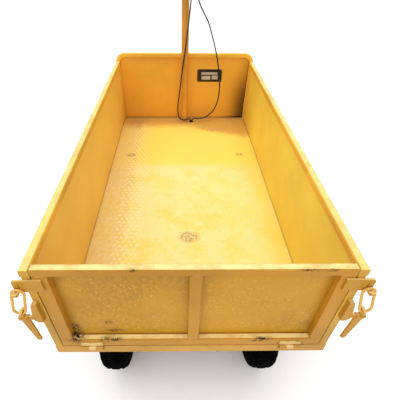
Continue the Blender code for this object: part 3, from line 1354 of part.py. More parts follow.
def column(paint, steel, dark, rubber, plastic):
    """Fixed mast with bushes, the shaft that turns in it, and the handlebar with its controls."""
    sides = 16
    outer = circle(0, MAST_Y, MAST_RADIUS, sides, math.pi / sides)
    inner = circle(0, MAST_Y, MAST_RADIUS - MAST_WALL, sides, math.pi / sides)
    shape = bmesh.new()
    add_tube(shape, outer, inner, "z", DECK_TOP + SEAT_GAP, MAST_TOP)
    make_object("mast_tube", shape, paint, smooth=True)

    shape = bmesh.new()
    bore = clear(SHAFT_RADIUS, sides)
    fit = (MAST_RADIUS - MAST_WALL) * math.cos(math.pi / sides) - SEAT_GAP
    sleeve = [(bore, MAST_TOP - BUSH_LENGTH), (fit, MAST_TOP - BUSH_LENGTH), (fit, MAST_TOP + SEAT_GAP),
              (MAST_RADIUS, MAST_TOP + SEAT_GAP), (MAST_RADIUS, MAST_TOP + BUSH_FLANGE),
              (bore, MAST_TOP + BUSH_FLANGE)]
    add_turned(shape, sleeve, "z", (0, MAST_Y, 0), sides)
    make_object("mast_bush", shape, steel, smooth=True)
    shape = bmesh.new()
    under = DECK_TOP - DECK_THICKNESS - SEAT_GAP
    foot = under - BEARING_DEPTH
    neck = BEARING_RADIUS * 0.75
    housing = [(bore, foot), (neck, foot), (neck, under - 2 * BEARING_FLANGE),
               (BEARING_RADIUS, under - BEARING_FLANGE), (BEARING_RADIUS, under), (bore, under)]
    add_turned(shape, housing, "z", (0, MAST_Y, 0), sides)
    make_object("floor_bearing", shape, steel, smooth=True)

    arm_low = AXLE_Z + EYE_HEIGHT / 2 + RUNNING_GAP
    shaft_top = BAR_HEIGHT - STEM_RADIUS
    shape = bmesh.new()
    shaft = circle(0, MAST_Y, SHAFT_RADIUS, sides, math.pi / sides)
    add_prism(shape, shaft, "z", arm_low + SEAT_GAP, shaft_top)
    turning = make_object("steering_shaft", shape, steel, smooth=True)
    boss_top = arm_low + 2 * EAR_THICKNESS
    shape = bmesh.new()
    add_prism(shape, circle(0, MAST_Y, 1.5 * SHAFT_RADIUS, sides), "z", arm_low + SEAT_GAP / 2, boss_top)
    join_in(turning, make_object("arm_boss", shape, steel))
    add_arm(turning, "column_arm", 0, MAST_Y, STEERING_ARM_LENGTH, arm_low, steel)

    fall = Vector((0, -BAR_PULLBACK, BAR_RISE))
    normal = Vector((1, 0, 0)).cross(fall.normalized())
    corners = [
        (-BAR_HALF_WIDTH, BAR_END_Y, BAR_END_Z), (-BAR_SHOULDER_X, BAR_END_Y, BAR_END_Z),
        (-BAR_CENTRE_HALF, MAST_Y, BAR_HEIGHT), (BAR_CENTRE_HALF, MAST_Y, BAR_HEIGHT),
        (BAR_SHOULDER_X, BAR_END_Y, BAR_END_Z), (BAR_HALF_WIDTH, BAR_END_Y, BAR_END_Z),
    ]
    shape = bmesh.new()
    section = circle(0, 0, BAR_RADIUS, 12, math.pi / 12)
    add_swept(shape, bent_path(corners, 3 * BAR_RADIUS, 3), section, normal)
    bar = make_object("handlebar", shape, steel, smooth=True)
    collar_low = MAST_TOP + BUSH_FLANGE + RUNNING_GAP
    shape = bmesh.new()
    add_prism(shape, circle(0, MAST_Y, STEM_RADIUS, 16, math.pi / 16), "z", collar_low, BAR_HEIGHT)
    join_in(bar, make_object("stem", shape, steel, smooth=True))
    shape = bmesh.new()
    ring = circle(MAST_Y, BAR_HEIGHT, STEM_RADIUS, 16, math.pi / 16)
    add_prism(shape, ring, "x", -STEM_HALF_WIDTH, STEM_HALF_WIDTH)
    join_in(bar, make_object("stem_ring", shape, steel, smooth=True))
    reach = 2 * (shaft_top + SEAT_GAP - collar_low)
    drill(bar, "z", (0, MAST_Y, collar_low), clear(SHAFT_RADIUS, sides), reach, sides)

    left = grip("grip_left", -1, GRIP_START, rubber)
    right = grip("throttle_grip", 1, THROTTLE_START, rubber)
    brake_lever(-1, dark)
    fork = perch(-1, dark)
    housing = throttle_housing(dark)
    pod = control_pod(plastic, steel, dark)
    carry([turning, bar, left, fork, housing, pod], "column_joint", (0, MAST_Y, 0))
    carry([right], "throttle_joint", (0, BAR_END_Y, BAR_END_Z))


def throttle_housing(dark):
    """Clamp ring beside the twist grip."""
    shape = bmesh.new()
    outline = rounded(rectangle(
        BAR_END_Y - PERCH_RADIUS, BAR_END_Z - 1.3 * PERCH_RADIUS,
        BAR_END_Y + PERCH_RADIUS, BAR_END_Z + PERCH_RADIUS,
    ), PERCH_RADIUS * 0.7, 4)
    add_prism(shape, outline, "x", PERCH_END, THROTTLE_START - RUNNING_GAP)
    housing = make_object("throttle_housing", shape, dark)
    drill(housing, "x", (PERCH_END, BAR_END_Y, BAR_END_Z), clear(BAR_RADIUS, 12), 2 * THROTTLE_START, 12)
    return housing


def perch(side, dark):
    """Lever perch: a fork in front of the bar whose two ears hold the lever's pin."""
    pivot_y = BAR_END_Y + BRAKE_PIVOT_Y
    gap = BRAKE_LEVER_THICKNESS / 2 + RUNNING_GAP
    ear = gap + BRAKE_LEVER_THICKNESS / 2
    tip = pivot_y + 3 * BRAKE_PIN_RADIUS
    throat = BAR_END_Y + PERCH_RADIUS + RUNNING_GAP
    back = []
    for step in range(7):
        angle = math.radians(50 + 260 * step / 6)
        back.append((BAR_END_Y + PERCH_RADIUS * math.cos(angle), BAR_END_Z + PERCH_RADIUS * math.sin(angle)))
    fork = back + [
        (tip, BAR_END_Z - ear), (tip, BAR_END_Z - gap), (throat, BAR_END_Z - gap),
        (throat, BAR_END_Z + gap), (tip, BAR_END_Z + gap), (tip, BAR_END_Z + ear),
    ]
    start, end = sorted((side * PERCH_START, side * PERCH_END))
    shape = bmesh.new()
    add_prism(shape, fork, "x", start, end)
    thing = make_object("brake_perch", shape, dark)
    x = (start + end) / 2
    drill(thing, "x", (x, BAR_END_Y, BAR_END_Z), clear(BAR_RADIUS, 12), 3 * PERCH_RADIUS, 12)
    drill(thing, "z", (x, pivot_y, BAR_END_Z), clear(BRAKE_PIN_RADIUS, 12), 3 * ear, 12)
    return thing


def brake_lever(side, dark):
    """Cast lever on its own pin, curved out in front of the grip, with a ball end."""
    word = "right" if side > 0 else "left"
    pivot = (side * (PERCH_START + PERCH_END) / 2, BAR_END_Y + BRAKE_PIVOT_Y)
    half = BRAKE_LEVER_THICKNESS / 2
    eye = 2.6 * BRAKE_PIN_RADIUS
    reach = BRAKE_LEVER_LENGTH
    rise = BRAKE_LEVER_RISE
    width = BRAKE_LEVER_THICKNESS
    front = [(0, eye * 0.9), (reach * 0.22, rise), (reach * 0.6, rise * 0.9), (reach, rise * 0.75)]
    back = [(reach, rise * 0.75 - width), (reach * 0.6, rise * 0.9 - width),
            (reach * 0.25, rise - 1.2 * width), (eye * 0.5, -eye * 0.6)]
    outline = [(pivot[0] + side * a, pivot[1] + b) for a, b in front + back]
    shape = bmesh.new()
    add_prism(shape, outline, "z", BAR_END_Z - half + SEAT_GAP / 2, BAR_END_Z + half - SEAT_GAP / 2)
    lever = make_object(f"brake_lever_{word}", shape, dark)
    shape = bmesh.new()
    add_prism(shape, circle(*pivot, eye, 16), "z", BAR_END_Z - half, BAR_END_Z + half)
    join_in(lever, make_object(f"lever_eye_{word}", shape, dark))
    shape = bmesh.new()
    span = half + RUNNING_GAP + BRAKE_LEVER_THICKNESS / 2
    pin = circle(*pivot, BRAKE_PIN_RADIUS, 10, math.pi / 10)
    add_prism(shape, pin, "z", BAR_END_Z - span, BAR_END_Z + span)
    join_in(lever, make_object(f"lever_pin_{word}", shape, dark))
    tip = Vector((pivot[0] + side * reach, pivot[1] + rise * 0.75 - width / 2, BAR_END_Z))
    shape = bmesh.new()
    bmesh.ops.create_uvsphere(shape, u_segments=12, v_segments=8, radius=width * 0.8)
    bmesh.ops.translate(shape, verts=shape.verts, vec=tip)
    join_in(lever, make_object(f"lever_ball_{word}", shape, dark, smooth=True))
    carry([lever], f"brake_{word}_joint", (*pivot, BAR_END_Z))
    return lever


def grip(name, side, start, rubber):
    """Moulded grip with round ribs and a closed end."""
    sides = 12
    bore = clear(BAR_RADIUS, sides)
    waist = GRIP_RADIUS * 0.94
    inner_end = BAR_HALF_WIDTH + SEAT_GAP
    collar = start + GRIP_COLLAR
    flange = GRIP_RADIUS * 1.25
    profile = [(0, inner_end), (bore, inner_end), (bore, start), (flange, start), (flange, collar)]
    pitch = (GRIP_END - collar) / (GRIP_RIBS + 1)
    for index in range(GRIP_RIBS):
        low = collar + pitch * (index + 0.5)
        profile += [(waist, low), (GRIP_RADIUS, low + pitch * 0.25), (GRIP_RADIUS, low + pitch * 0.6)]
    profile += [(waist, GRIP_END), (0, GRIP_END)]
    shape = bmesh.new()
    centre = (0, BAR_END_Y, BAR_END_Z)
    add_turned(shape, [(r, side * x) for r, x in profile], "x", centre, sides, closed=False)
    return make_object(name, shape, rubber, smooth=True)


def control_pod(plastic, steel, dark):
    """Switch box clamped to the bar, with glands below, a key lock and a horn button."""
    back = MAST_Y - MAST_RADIUS - POD_GAP
    front = back - POD_DEPTH
    low = BAR_HEIGHT + POD_RISE - POD_HEIGHT
    high = low + POD_HEIGHT
    half = POD_WIDTH / 2
    layers = []
    steps = (
        (POD_BEVEL, front), (0, front + POD_BEVEL), (0, back - POD_BACK_BEVEL), (POD_BACK_BEVEL, back),
    )
    for inset, y in steps:
        box = rectangle(inset - half, low + inset, half - inset, high - inset)
        layers.append((rounded(box, POD_CORNER - inset, 3), y))
    shape = bmesh.new()
    add_stack(shape, layers, "y")
    pod = make_object("control_pod", shape, plastic)
    arms = bmesh.new()
    glands = bmesh.new()
    holes = bmesh.new()
    lug = BAR_CENTRE_HALF - POD_ARM_INSET
    for side in (-1, 1):
        eye = []
        radius = POD_ARM_RADIUS
        for step in range(11):
            angle = math.radians(POD_ARM_WRAP * (step / 10 - 0.5))
            eye.append((MAST_Y + radius * math.cos(angle), BAR_HEIGHT + radius * math.sin(angle)))
        root = back - POD_ARM_ROOT
        outline = eye + [(root, BAR_HEIGHT + radius * 0.75), (root, BAR_HEIGHT - radius * 0.75)]
        start = side * lug - POD_ARM_WIDTH / 2
        add_prism(arms, outline, "x", start, start + POD_ARM_WIDTH)
    bar_bore = circle(MAST_Y, BAR_HEIGHT, clear(BAR_RADIUS, 12), 12, math.pi / 12)
    add_prism(holes, bar_bore, "x", -2 * lug, 2 * lug)
    middle = (front + back) / 2
    for x in gland_places():
        profile = [(0, low + POD_BEVEL), (GLAND_RADIUS, low + POD_BEVEL), (GLAND_RADIUS, low - GLAND_COLLAR),
                   (GLAND_RADIUS * 0.8, low - GLAND_LENGTH), (0, low - GLAND_LENGTH)]
        add_turned(glands, profile, "z", (x, middle, 0), 12, closed=False)
    lock_x = -half / 2
    button_x = half / 2
    face_z = BAR_HEIGHT
    join_in(pod, make_object("pod_arms", arms, plastic))
    join_in(pod, make_object("pod_glands", glands, plastic))
    cut_out(pod, make_object("pod_bore", holes, plastic))
    depth = LOCK_DEPTH
    drill(pod, "y", (lock_x, front, face_z), clear(KEY_RADIUS, 16), 2 * depth, 16)
    drill(pod, "y", (button_x, front, face_z), clear(BUTTON_RADIUS, 16), 2 * depth, 16)

    shape = bmesh.new()
    stop = front + depth - SEAT_GAP
    barrel = [(0, front - KEY_STANDOUT), (KEY_RADIUS, front - KEY_STANDOUT), (KEY_RADIUS, stop), (0, stop)]
    add_turned(shape, barrel, "y", (lock_x, 0, face_z), 16, closed=False)
    key = make_object("key", shape, steel, smooth=True)
    shape = bmesh.new()
    blade = rectangle(lock_x - KEY_BLADE / 2, face_z - KEY_BLADE_WIDTH / 2,
                      lock_x + KEY_BLADE / 2, face_z + KEY_BLADE_WIDTH / 2)
    add_prism(shape, blade, "y", front - KEY_BLADE_LENGTH, front)
    join_in(key, make_object("key_stem", shape, steel))
    shape = bmesh.new()
    bow = circle(front - KEY_BOW_OUT, face_z, KEY_BOW_RADIUS, 16)
    add_prism(shape, bow, "x", lock_x - KEY_BOW / 2, lock_x + KEY_BOW / 2)
    join_in(key, make_object("key_bow", shape, steel))
    carry([key], "key_joint", (lock_x, front, face_z))

    shape = bmesh.new()
    stop = front + depth - BUTTON_TRAVEL - SEAT_GAP
    seat = front - BUTTON_TRAVEL
    head = [(0, seat - BUTTON_DOME), (BUTTON_RADIUS * 0.7, seat - BUTTON_DOME),
            (BUTTON_RADIUS, seat - BUTTON_EDGE), (BUTTON_RADIUS, stop), (0, stop)]
    add_turned(shape, head, "y", (button_x, 0, face_z), 16, closed=False)
    button = make_object("horn_button", shape, dark, smooth=True)
    carry([button], "horn_joint", (button_x, front, face_z))
    return pod


def gland_places():
    """Sideways places of the cable glands under the control pod."""
    return GROMMET_X - GLAND_LEFT_OFFSET, GROMMET_X + GLAND_RIGHT_OFFSET


def smooth_route(points, spacing):
    """Catmull-Rom curve through a route, cut into short straight steps."""
    points = [Vector(point) for point in points]
    ends = [2 * points[0] - points[1]] + points + [2 * points[-1] - points[-2]]
    route = [points[0]]
    for a, b, c, d in zip(ends, ends[1:], ends[2:], ends[3:]):
        steps = max(1, math.ceil((c - b).length / spacing))
        knots = [0.0]
        for first, second in ((a, b), (b, c), (c, d)):
            knots.append(knots[-1] + math.sqrt((second - first).length))
        k0, k1, k2, k3 = knots
        for step in range(1, steps + 1):
            t = k1 + (k2 - k1) * step / steps
            ab = a * ((k1 - t) / (k1 - k0)) + b * ((t - k0) / (k1 - k0))
            bc = b * ((k2 - t) / (k2 - k1)) + c * ((t - k1) / (k2 - k1))
            cd = c * ((k3 - t) / (k3 - k2)) + d * ((t - k2) / (k3 - k2))
            abc = ab * ((k2 - t) / (k2 - k0)) + bc * ((t - k0) / (k2 - k0))
            bcd = bc * ((k3 - t) / (k3 - k1)) + cd * ((t - k1) / (k3 - k1))
            route.append(abc * ((k2 - t) / (k2 - k1)) + bcd * ((t - k1) / (k2 - k1)))
    return route


def cable(name, points, spacing, black):
    """Round sheathed cable along a smooth route."""
    curve = bpy.data.curves.new(name, "CURVE")
    curve.dimensions = "3D"
    curve.bevel_depth = CABLE_RADIUS
    curve.bevel_resolution = 2
    curve.use_fill_caps = True
    spline = curve.splines.new("POLY")
    route = smooth_route(points, spacing)
    spline.points.add(len(route) - 1)
    for point, place in zip(spline.points, route):
        point.co = (*place, 1.0)
    curve.materials.append(black)
    thing = bpy.data.objects.new(name, curve)
    bpy.context.collection.objects.link(thing)
    return thing


def cable_grommet(rubber):
    """Rubber grommet snapped into the deck plate."""
    shape = bmesh.new()
    inner = 2 * CABLE_RADIUS + 4 * SEAT_GAP
    neck = (GROMMET_RADIUS - GATE_SIDE_GAP) * math.cos(math.pi / 16) - SEAT_GAP
    brim = GROMMET_RADIUS - LID_STEP
    top = DECK_TOP + SEAT_GAP
    low = DECK_TOP - DECK_THICKNESS - SEAT_GAP
    lip = DECK_THICKNESS
    profile = [
        (inner, low - lip), (brim, low - lip), (brim, low), (neck, low), (neck, top),
        (GROMMET_RADIUS, top), (GROMMET_RADIUS, top + lip), (inner + LID_STEP, DECK_TOP + GROMMET_HEIGHT),
        (inner, DECK_TOP + GROMMET_HEIGHT - LID_STEP),
    ]
    add_turned(shape, profile, "z", (*GROMMET_XY, 0), 16)
    make_object("cable_grommet", shape, rubber, smooth=True)


def cable_clips(frame, paint):
    """Sheet saddles on the rail's web that the brake cable lies in."""
    web = RAIL_INNER_X + FRAME_SHEET / 4
    span = CABLE_RADIUS + RUNNING_GAP
    sheet = FRAME_SHEET / 2
    low = BRAKE_RUN_Z - span
    saddle = [
        (web, BRAKE_RUN_Z + 3 * span), (web, low - sheet), (BRAKE_RUN_X - span - sheet, low - sheet),
        (BRAKE_RUN_X - span - sheet, BRAKE_RUN_Z + span / 2), (BRAKE_RUN_X - span, BRAKE_RUN_Z + span / 2),
        (BRAKE_RUN_X - span, low), (RAIL_INNER_X - sheet, low),
        (RAIL_INNER_X - sheet, BRAKE_RUN_Z + 3 * span),
    ]
    for index in range(CABLE_CLIPS):
        y = CLIPS_START - CLIPS_SPACING * index
        shape = bmesh.new()
        add_prism(shape, saddle, "y", y - HANGER_SHEET, y + HANGER_SHEET)
        join_in(frame, make_object(f"cable_clip_{index}", shape, paint))


def cables(black):
    """Two cables that hang from the pod, bow out over the deck and pass down through it."""
    left_x, right_x = gland_places()
    gland_y = MAST_Y - MAST_RADIUS - POD_GAP - POD_DEPTH / 2
    gland_z = BAR_HEIGHT + POD_RISE - POD_HEIGHT - GLAND_LENGTH - SEAT_GAP
    hole_x, hole_y = GROMMET_XY
    apart = CABLE_RADIUS + SEAT_GAP
    plane = MAST_Y - RIGHT_CABLE_SETBACK
    right = [
        (right_x, gland_y, gland_z), (right_x + 0.002, gland_y + 0.001, gland_z - 0.035),
        (0.086, gland_y + 0.014, gland_z - 0.120), (0.137, plane, 1.124), (0.164, plane, 1.053),
        (0.192, plane, 0.967), (0.216, plane, 0.869), (0.231, plane, 0.778), (0.234, plane, 0.710),
        (0.226, plane, 0.640), (0.203, plane, 0.580), (0.169, plane, 0.541), (0.134, plane, 0.521),
        (0.098, plane, 0.516), (0.074, hole_y, 0.5170), (0.0615, hole_y, 0.5140),
        (hole_x + apart + 0.0010, hole_y, 0.5060), (hole_x + apart, hole_y, 0.4985),
        (hole_x + apart, hole_y, 0.486),
    ]
    left_plane = MAST_Y - LEFT_CABLE_SETBACK
    left = [
        (left_x, gland_y, gland_z), (left_x - 0.001, gland_y + 0.001, gland_z - 0.035),
        (0.028, gland_y + 0.012, gland_z - 0.120), (0.020, left_plane, 1.127), (0.001, left_plane, 0.970),
        (-0.011, left_plane, 0.898), (-0.028, left_plane, 0.763), (-0.041, left_plane, 0.659),
        (-0.0465, left_plane, 0.601), (-0.040, left_plane, 0.540), (-0.020, left_plane, 0.516),
        (0.010, left_plane, 0.513), (0.027, left_plane + 0.006, 0.5165), (0.0385, hole_y - 0.002, 0.5140),
        (hole_x - apart - 0.0010, hole_y, 0.5060), (hole_x - apart, hole_y, 0.4985),
        (hole_x - apart, hole_y, 0.486),
    ]
    box_nose = CONTROLLER_Y + CONTROLLER_LENGTH / 2 + SEAT_GAP
    to_controller = [
        (hole_x + apart, hole_y - 0.003, 0.478), (hole_x + apart, hole_y - 0.012, 0.471),
        (hole_x + apart, box_nose + 0.012, 0.470), (hole_x + apart, box_nose, 0.470),
    ]
    cable("throttle_cable", right + to_controller, CABLE_RADIUS * 7, black)

    inside_rail = BRAKE_RUN_X
    drop = BRAKE_RUN_Z
    plate_x = AXLE_HALF_LENGTH - BRAKE_PLATE_DEPTH - SEAT_GAP
    to_brake = [
        (hole_x - apart, hole_y + 0.001, 0.462), (hole_x, hole_y + 0.003, 0.438),
        (0.075, hole_y - 0.005, drop),
        (inside_rail - 0.003, 0.745, drop), (inside_rail, 0.715, drop), (inside_rail, 0.680, drop),
        (inside_rail, 0.300, drop), (inside_rail, -0.100, drop), (inside_rail, -0.380, drop),
        (inside_rail - 0.002, -0.425, 0.420), (0.101, -0.448, 0.405), (0.104, -0.464, 0.384),
        (0.125, -0.480, 0.360), (0.157, -0.496, 0.336), (0.187, -0.512, 0.311), (0.203, -0.526, 0.289),
        (plate_x - 0.014, REAR_AXLE_Y + 0.050, AXLE_Z + 0.052),
        (plate_x, REAR_AXLE_Y + 0.050, AXLE_Z + 0.052),
    ]
    cable("brake_cable", left + to_brake, CABLE_RADIUS * 14, black)


def build():
    for thing in list(bpy.data.objects):
        bpy.data.objects.remove(thing, do_unlink=True)
    paint = finish("orange_paint", (0.76, 0.31, 0.035), 0.45)
    dark = finish("dark_metal", (0.045, 0.045, 0.05), 0.5)
    steel = finish("plain_steel", (0.50, 0.50, 0.52), 0.35, 1.0)
    spring_steel = finish("spring_steel", (0.10, 0.10, 0.11), 0.5, 0.6)
    alloy = finish("cast_alloy", (0.62, 0.63, 0.65), 0.4, 1.0)
    tyre_rubber = finish("tyre_rubber", (0.02, 0.02, 0.02), 0.85)
    rubber = finish("grip_rubber", (0.03, 0.03, 0.03), 0.8)
    plastic = finish("black_plastic", (0.04, 0.04, 0.045), 0.55)

    frame = deck_frame(paint)
    deck_plate(paint)
    box_sides(paint)
    headboard(paint)
    gate = tailgate(paint) + hinges(frame, paint, steel)
    for side, word in ((-1, "left"), (1, "right")):
        gate.append(latch_keeper(side, paint))
        latch_lug(side, paint)
        ring = latch_ring(side, steel)
        carry([ring], f"ring_{word}_joint", (side * FINGER_X, RING_Y, RING_AXIS_Z))
        lever = latch_lever(side, paint)
        carry([lever], f"lever_{word}_joint", (side * FINGER_X, RING_Y, LATCH_PIN_Z))
    carry(gate, "tailgate_joint", (0, HINGE_Y, HINGE_Z))

    axle_parts(dark, steel, dark)
    arms, low_arm, high_arm = knuckles(steel)
    for word, side in (("fl", -1), ("fr", 1), ("rl", -1), ("rr", 1)):
        front = word.startswith("f")
        axle_y = FRONT_AXLE_Y if front else REAR_AXLE_Y
        pieces, centre = wheel(word, side, axle_y, not front, tyre_rubber, paint, dark)
        carry(pieces, f"wheel_{word}_joint", centre)
    for word, side in (("left", -1), ("right", 1)):
        carry([arms[word]], f"knuckle_{word}_joint", (side * KINGPIN_X, FRONT_AXLE_Y, AXLE_Z))
    tie_y = FRONT_AXLE_Y - TIE_ARM_LENGTH
    tie = link("tie_rod", (-KINGPIN_X, tie_y), (KINGPIN_X, tie_y), low_arm, steel)
    carry([tie], "tie_rod_joint", (KINGPIN_X, tie_y, low_arm))
    drag_y = MAST_Y + STEERING_ARM_LENGTH
    drag = link("drag_link", (0, drag_y), (KINGPIN_X, FRONT_AXLE_Y + STEERING_ARM_LENGTH), high_arm, steel)
    carry([drag], "drag_link_joint", (0, drag_y, high_arm))

    leaf_springs(spring_steel, steel)
    drive_pack(dark, plastic, alloy)
    column(paint, steel, dark, rubber, plastic)
    cable_grommet(rubber)
    cable_clips(frame, paint)
    cables(rubber)


build()
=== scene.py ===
"""Looks of an electric platform cart: paint, tread plate, welds, tyres, grips and cables."""

import math
import random

import bmesh
import bpy
from mathutils import Matrix, Vector


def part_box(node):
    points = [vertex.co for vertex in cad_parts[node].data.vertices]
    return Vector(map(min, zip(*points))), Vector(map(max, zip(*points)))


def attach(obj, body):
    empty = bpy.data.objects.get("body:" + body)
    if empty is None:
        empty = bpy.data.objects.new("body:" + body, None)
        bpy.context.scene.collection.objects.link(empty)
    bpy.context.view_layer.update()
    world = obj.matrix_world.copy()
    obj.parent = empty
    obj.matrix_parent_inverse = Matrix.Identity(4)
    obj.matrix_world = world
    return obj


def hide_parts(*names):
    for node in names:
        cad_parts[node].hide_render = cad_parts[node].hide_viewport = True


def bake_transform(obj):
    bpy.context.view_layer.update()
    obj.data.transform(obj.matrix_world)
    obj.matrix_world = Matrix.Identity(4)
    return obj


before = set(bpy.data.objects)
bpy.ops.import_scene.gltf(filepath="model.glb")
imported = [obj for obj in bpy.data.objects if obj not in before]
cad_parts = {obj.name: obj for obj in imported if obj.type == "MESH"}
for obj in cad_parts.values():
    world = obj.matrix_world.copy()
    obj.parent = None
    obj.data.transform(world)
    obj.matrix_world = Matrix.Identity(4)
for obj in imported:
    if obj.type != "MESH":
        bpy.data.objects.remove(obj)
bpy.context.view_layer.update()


# Painted steel box and frame. The whole body is welded mild steel, sprayed orange in
# one coat, and left out in the sun: tops are paler, partly faded and partly a painted
# highlight, and edges are worn pale under a painted highlight and chipped to dark primer
# and rust. The same paint in a few shades covers every welded piece, some of them set
# lighter or darker as painted light.

class Layer:
    """A value on its way through a finish. It adds and multiplies like a number."""

    def __init__(self, tree, socket=None):
        self.tree = tree
        self.socket = socket

    def feed(self, target, value):
        """Links a layer to a socket, or sets the socket to a plain value."""
        if isinstance(value, Layer):
            self.tree.links.new(value.socket, target)
        else:
            target.default_value = value

    def node(self, kind, values, out=0, **settings):
        """Adds a node with its settings, feeds its sockets and gives one of its outputs."""
        made = self.tree.nodes.new("ShaderNode" + kind)
        for name, value in settings.items():
            setattr(made, name, value)
        for key, value in values.items():
            self.feed(made.inputs[key], value)
        return Layer(self.tree, made.outputs[out])

    def __add__(self, other):
        return self.node("Math", {0: self, 1: other}, operation="ADD")

    def __sub__(self, other):
        return self.node("Math", {0: self, 1: other}, operation="SUBTRACT")

    def __mul__(self, other):
        return self.node("Math", {0: self, 1: other}, operation="MULTIPLY")

    def __rsub__(self, other):
        return self.node("Math", {0: other, 1: self}, operation="SUBTRACT")

    __radd__ = __add__
    __rmul__ = __mul__

    def either(self, other):
        """The stronger of two masks."""
        return self.node("Math", {0: self, 1: other}, operation="MAXIMUM")

    def within(self, low, high):
        """0 below low, 1 above high, or the other way round where low is the larger."""
        return self.node("MapRange", {"Value": self, "From Min": low, "From Max": high},
                         interpolation_type="SMOOTHSTEP")

    def over(self, under, top):
        """The colour of top where this mask is 1, and of under where it is 0."""
        return self.node("Mix", {0: self, 6: under, 7: top}, out=2, data_type="RGBA")

    def stretched(self, scale):
        """The place with each direction multiplied by its own number."""
        return self.node("VectorMath", {0: self, 1: scale}, operation="MULTIPLY")

    def noise(self, scale, detail=2.0, rough=0.5):
        """A cloudy pattern, 0 to 1. Scale is roughly its number of clouds in a metre."""
        values = {"Vector": self, "Scale": scale, "Detail": detail, "Roughness": rough}
        return self.node("TexNoise", values)

    def part(self, letter):
        """One direction of a place: X, Y or Z."""
        return self.node("SeparateXYZ", {0: self}, out=letter)

    def facing(self, letter):
        """How far the surface faces along a direction, -1 to 1."""
        return self.node("TexCoord", {}, out="Normal").part(letter)

    def size(self):
        """The value without its sign."""
        return self.node("Math", {0: self}, operation="ABSOLUTE")

    def spot(self, centre, radius, soft=0.35):
        """A round patch about a place, as a mask."""
        near = self.node("VectorMath", {0: self, 1: centre}, out="Value", operation="DISTANCE")
        return near.within(radius * (1 + soft), radius * (1 - soft))


def shade(red, green, blue):
    """A colour given as it looks on a screen, 0 to 255."""
    linear = []
    for value in (red / 255, green / 255, blue / 255):
        linear.append(value / 12.92 if value <= 0.04045 else ((value + 0.055) / 1.055) ** 2.4)
    return (*linear, 1.0)


def tinted(colour, strength, lift=0.0):
    """A colour made darker or lighter, and then lifted by a little."""
    return [min(1.0, channel * strength + lift) for channel in colour[:3]] + [1.0]


def new_finish(name):
    """An empty finish: its material, its shader and the place on the piece, in metres."""
    material = bpy.data.materials.new(name)
    material.use_nodes = True
    tree = material.node_tree
    place = Layer(tree).node("TexCoord", {}, out="Object")
    return material, tree.nodes["Principled BSDF"], place


def set_surface(shader, colour, roughness, height=None, depth=0.0, metallic=0.0, shine=0.22):
    """Feeds the shader: colour and roughness, and a bump of that depth in metres."""
    shader.inputs["Specular IOR Level"].default_value = shine
    source = Layer(shader.id_data)
    source.feed(shader.inputs["Base Color"], colour)
    source.feed(shader.inputs["Roughness"], roughness)
    source.feed(shader.inputs["Metallic"], metallic)
    if height is not None:
        bump = source.node("Bump", {"Height": height, "Strength": 1.0, "Distance": depth})
        source.feed(shader.inputs["Normal"], bump)


def edges(place, width):
    """Mask of the outer edges, where paint wears first and where a highlight is painted."""
    soft = place.node("Bevel", {"Radius": width}, samples=4)
    hard = place.node("NewGeometry", {}, out="Normal")
    turned = soft.node("VectorMath", {0: soft, 1: hard}, out="Value", operation="DOT_PRODUCT")
    return (1.0 - turned).within(0.015, 0.16)


PRIMER = shade(40, 29, 18)
RUST = shade(106, 58, 24)
# A dark brown laid over the paint: painted shade in slits, along edges and on faces turned to
# the tail, and plain darker bands at wall feet and sheet edges.
DARK_OVERLAY = shade(62, 38, 14)
FADE_AND_HIGHLIGHT = shade(255, 234, 158)
OVERSPRAY = shade(238, 214, 146)
PAINT_ROUGHNESS = 0.36
PAINT_DEPTH = 0.00022
WORN_AND_HIGHLIT_EDGE = 0.0022


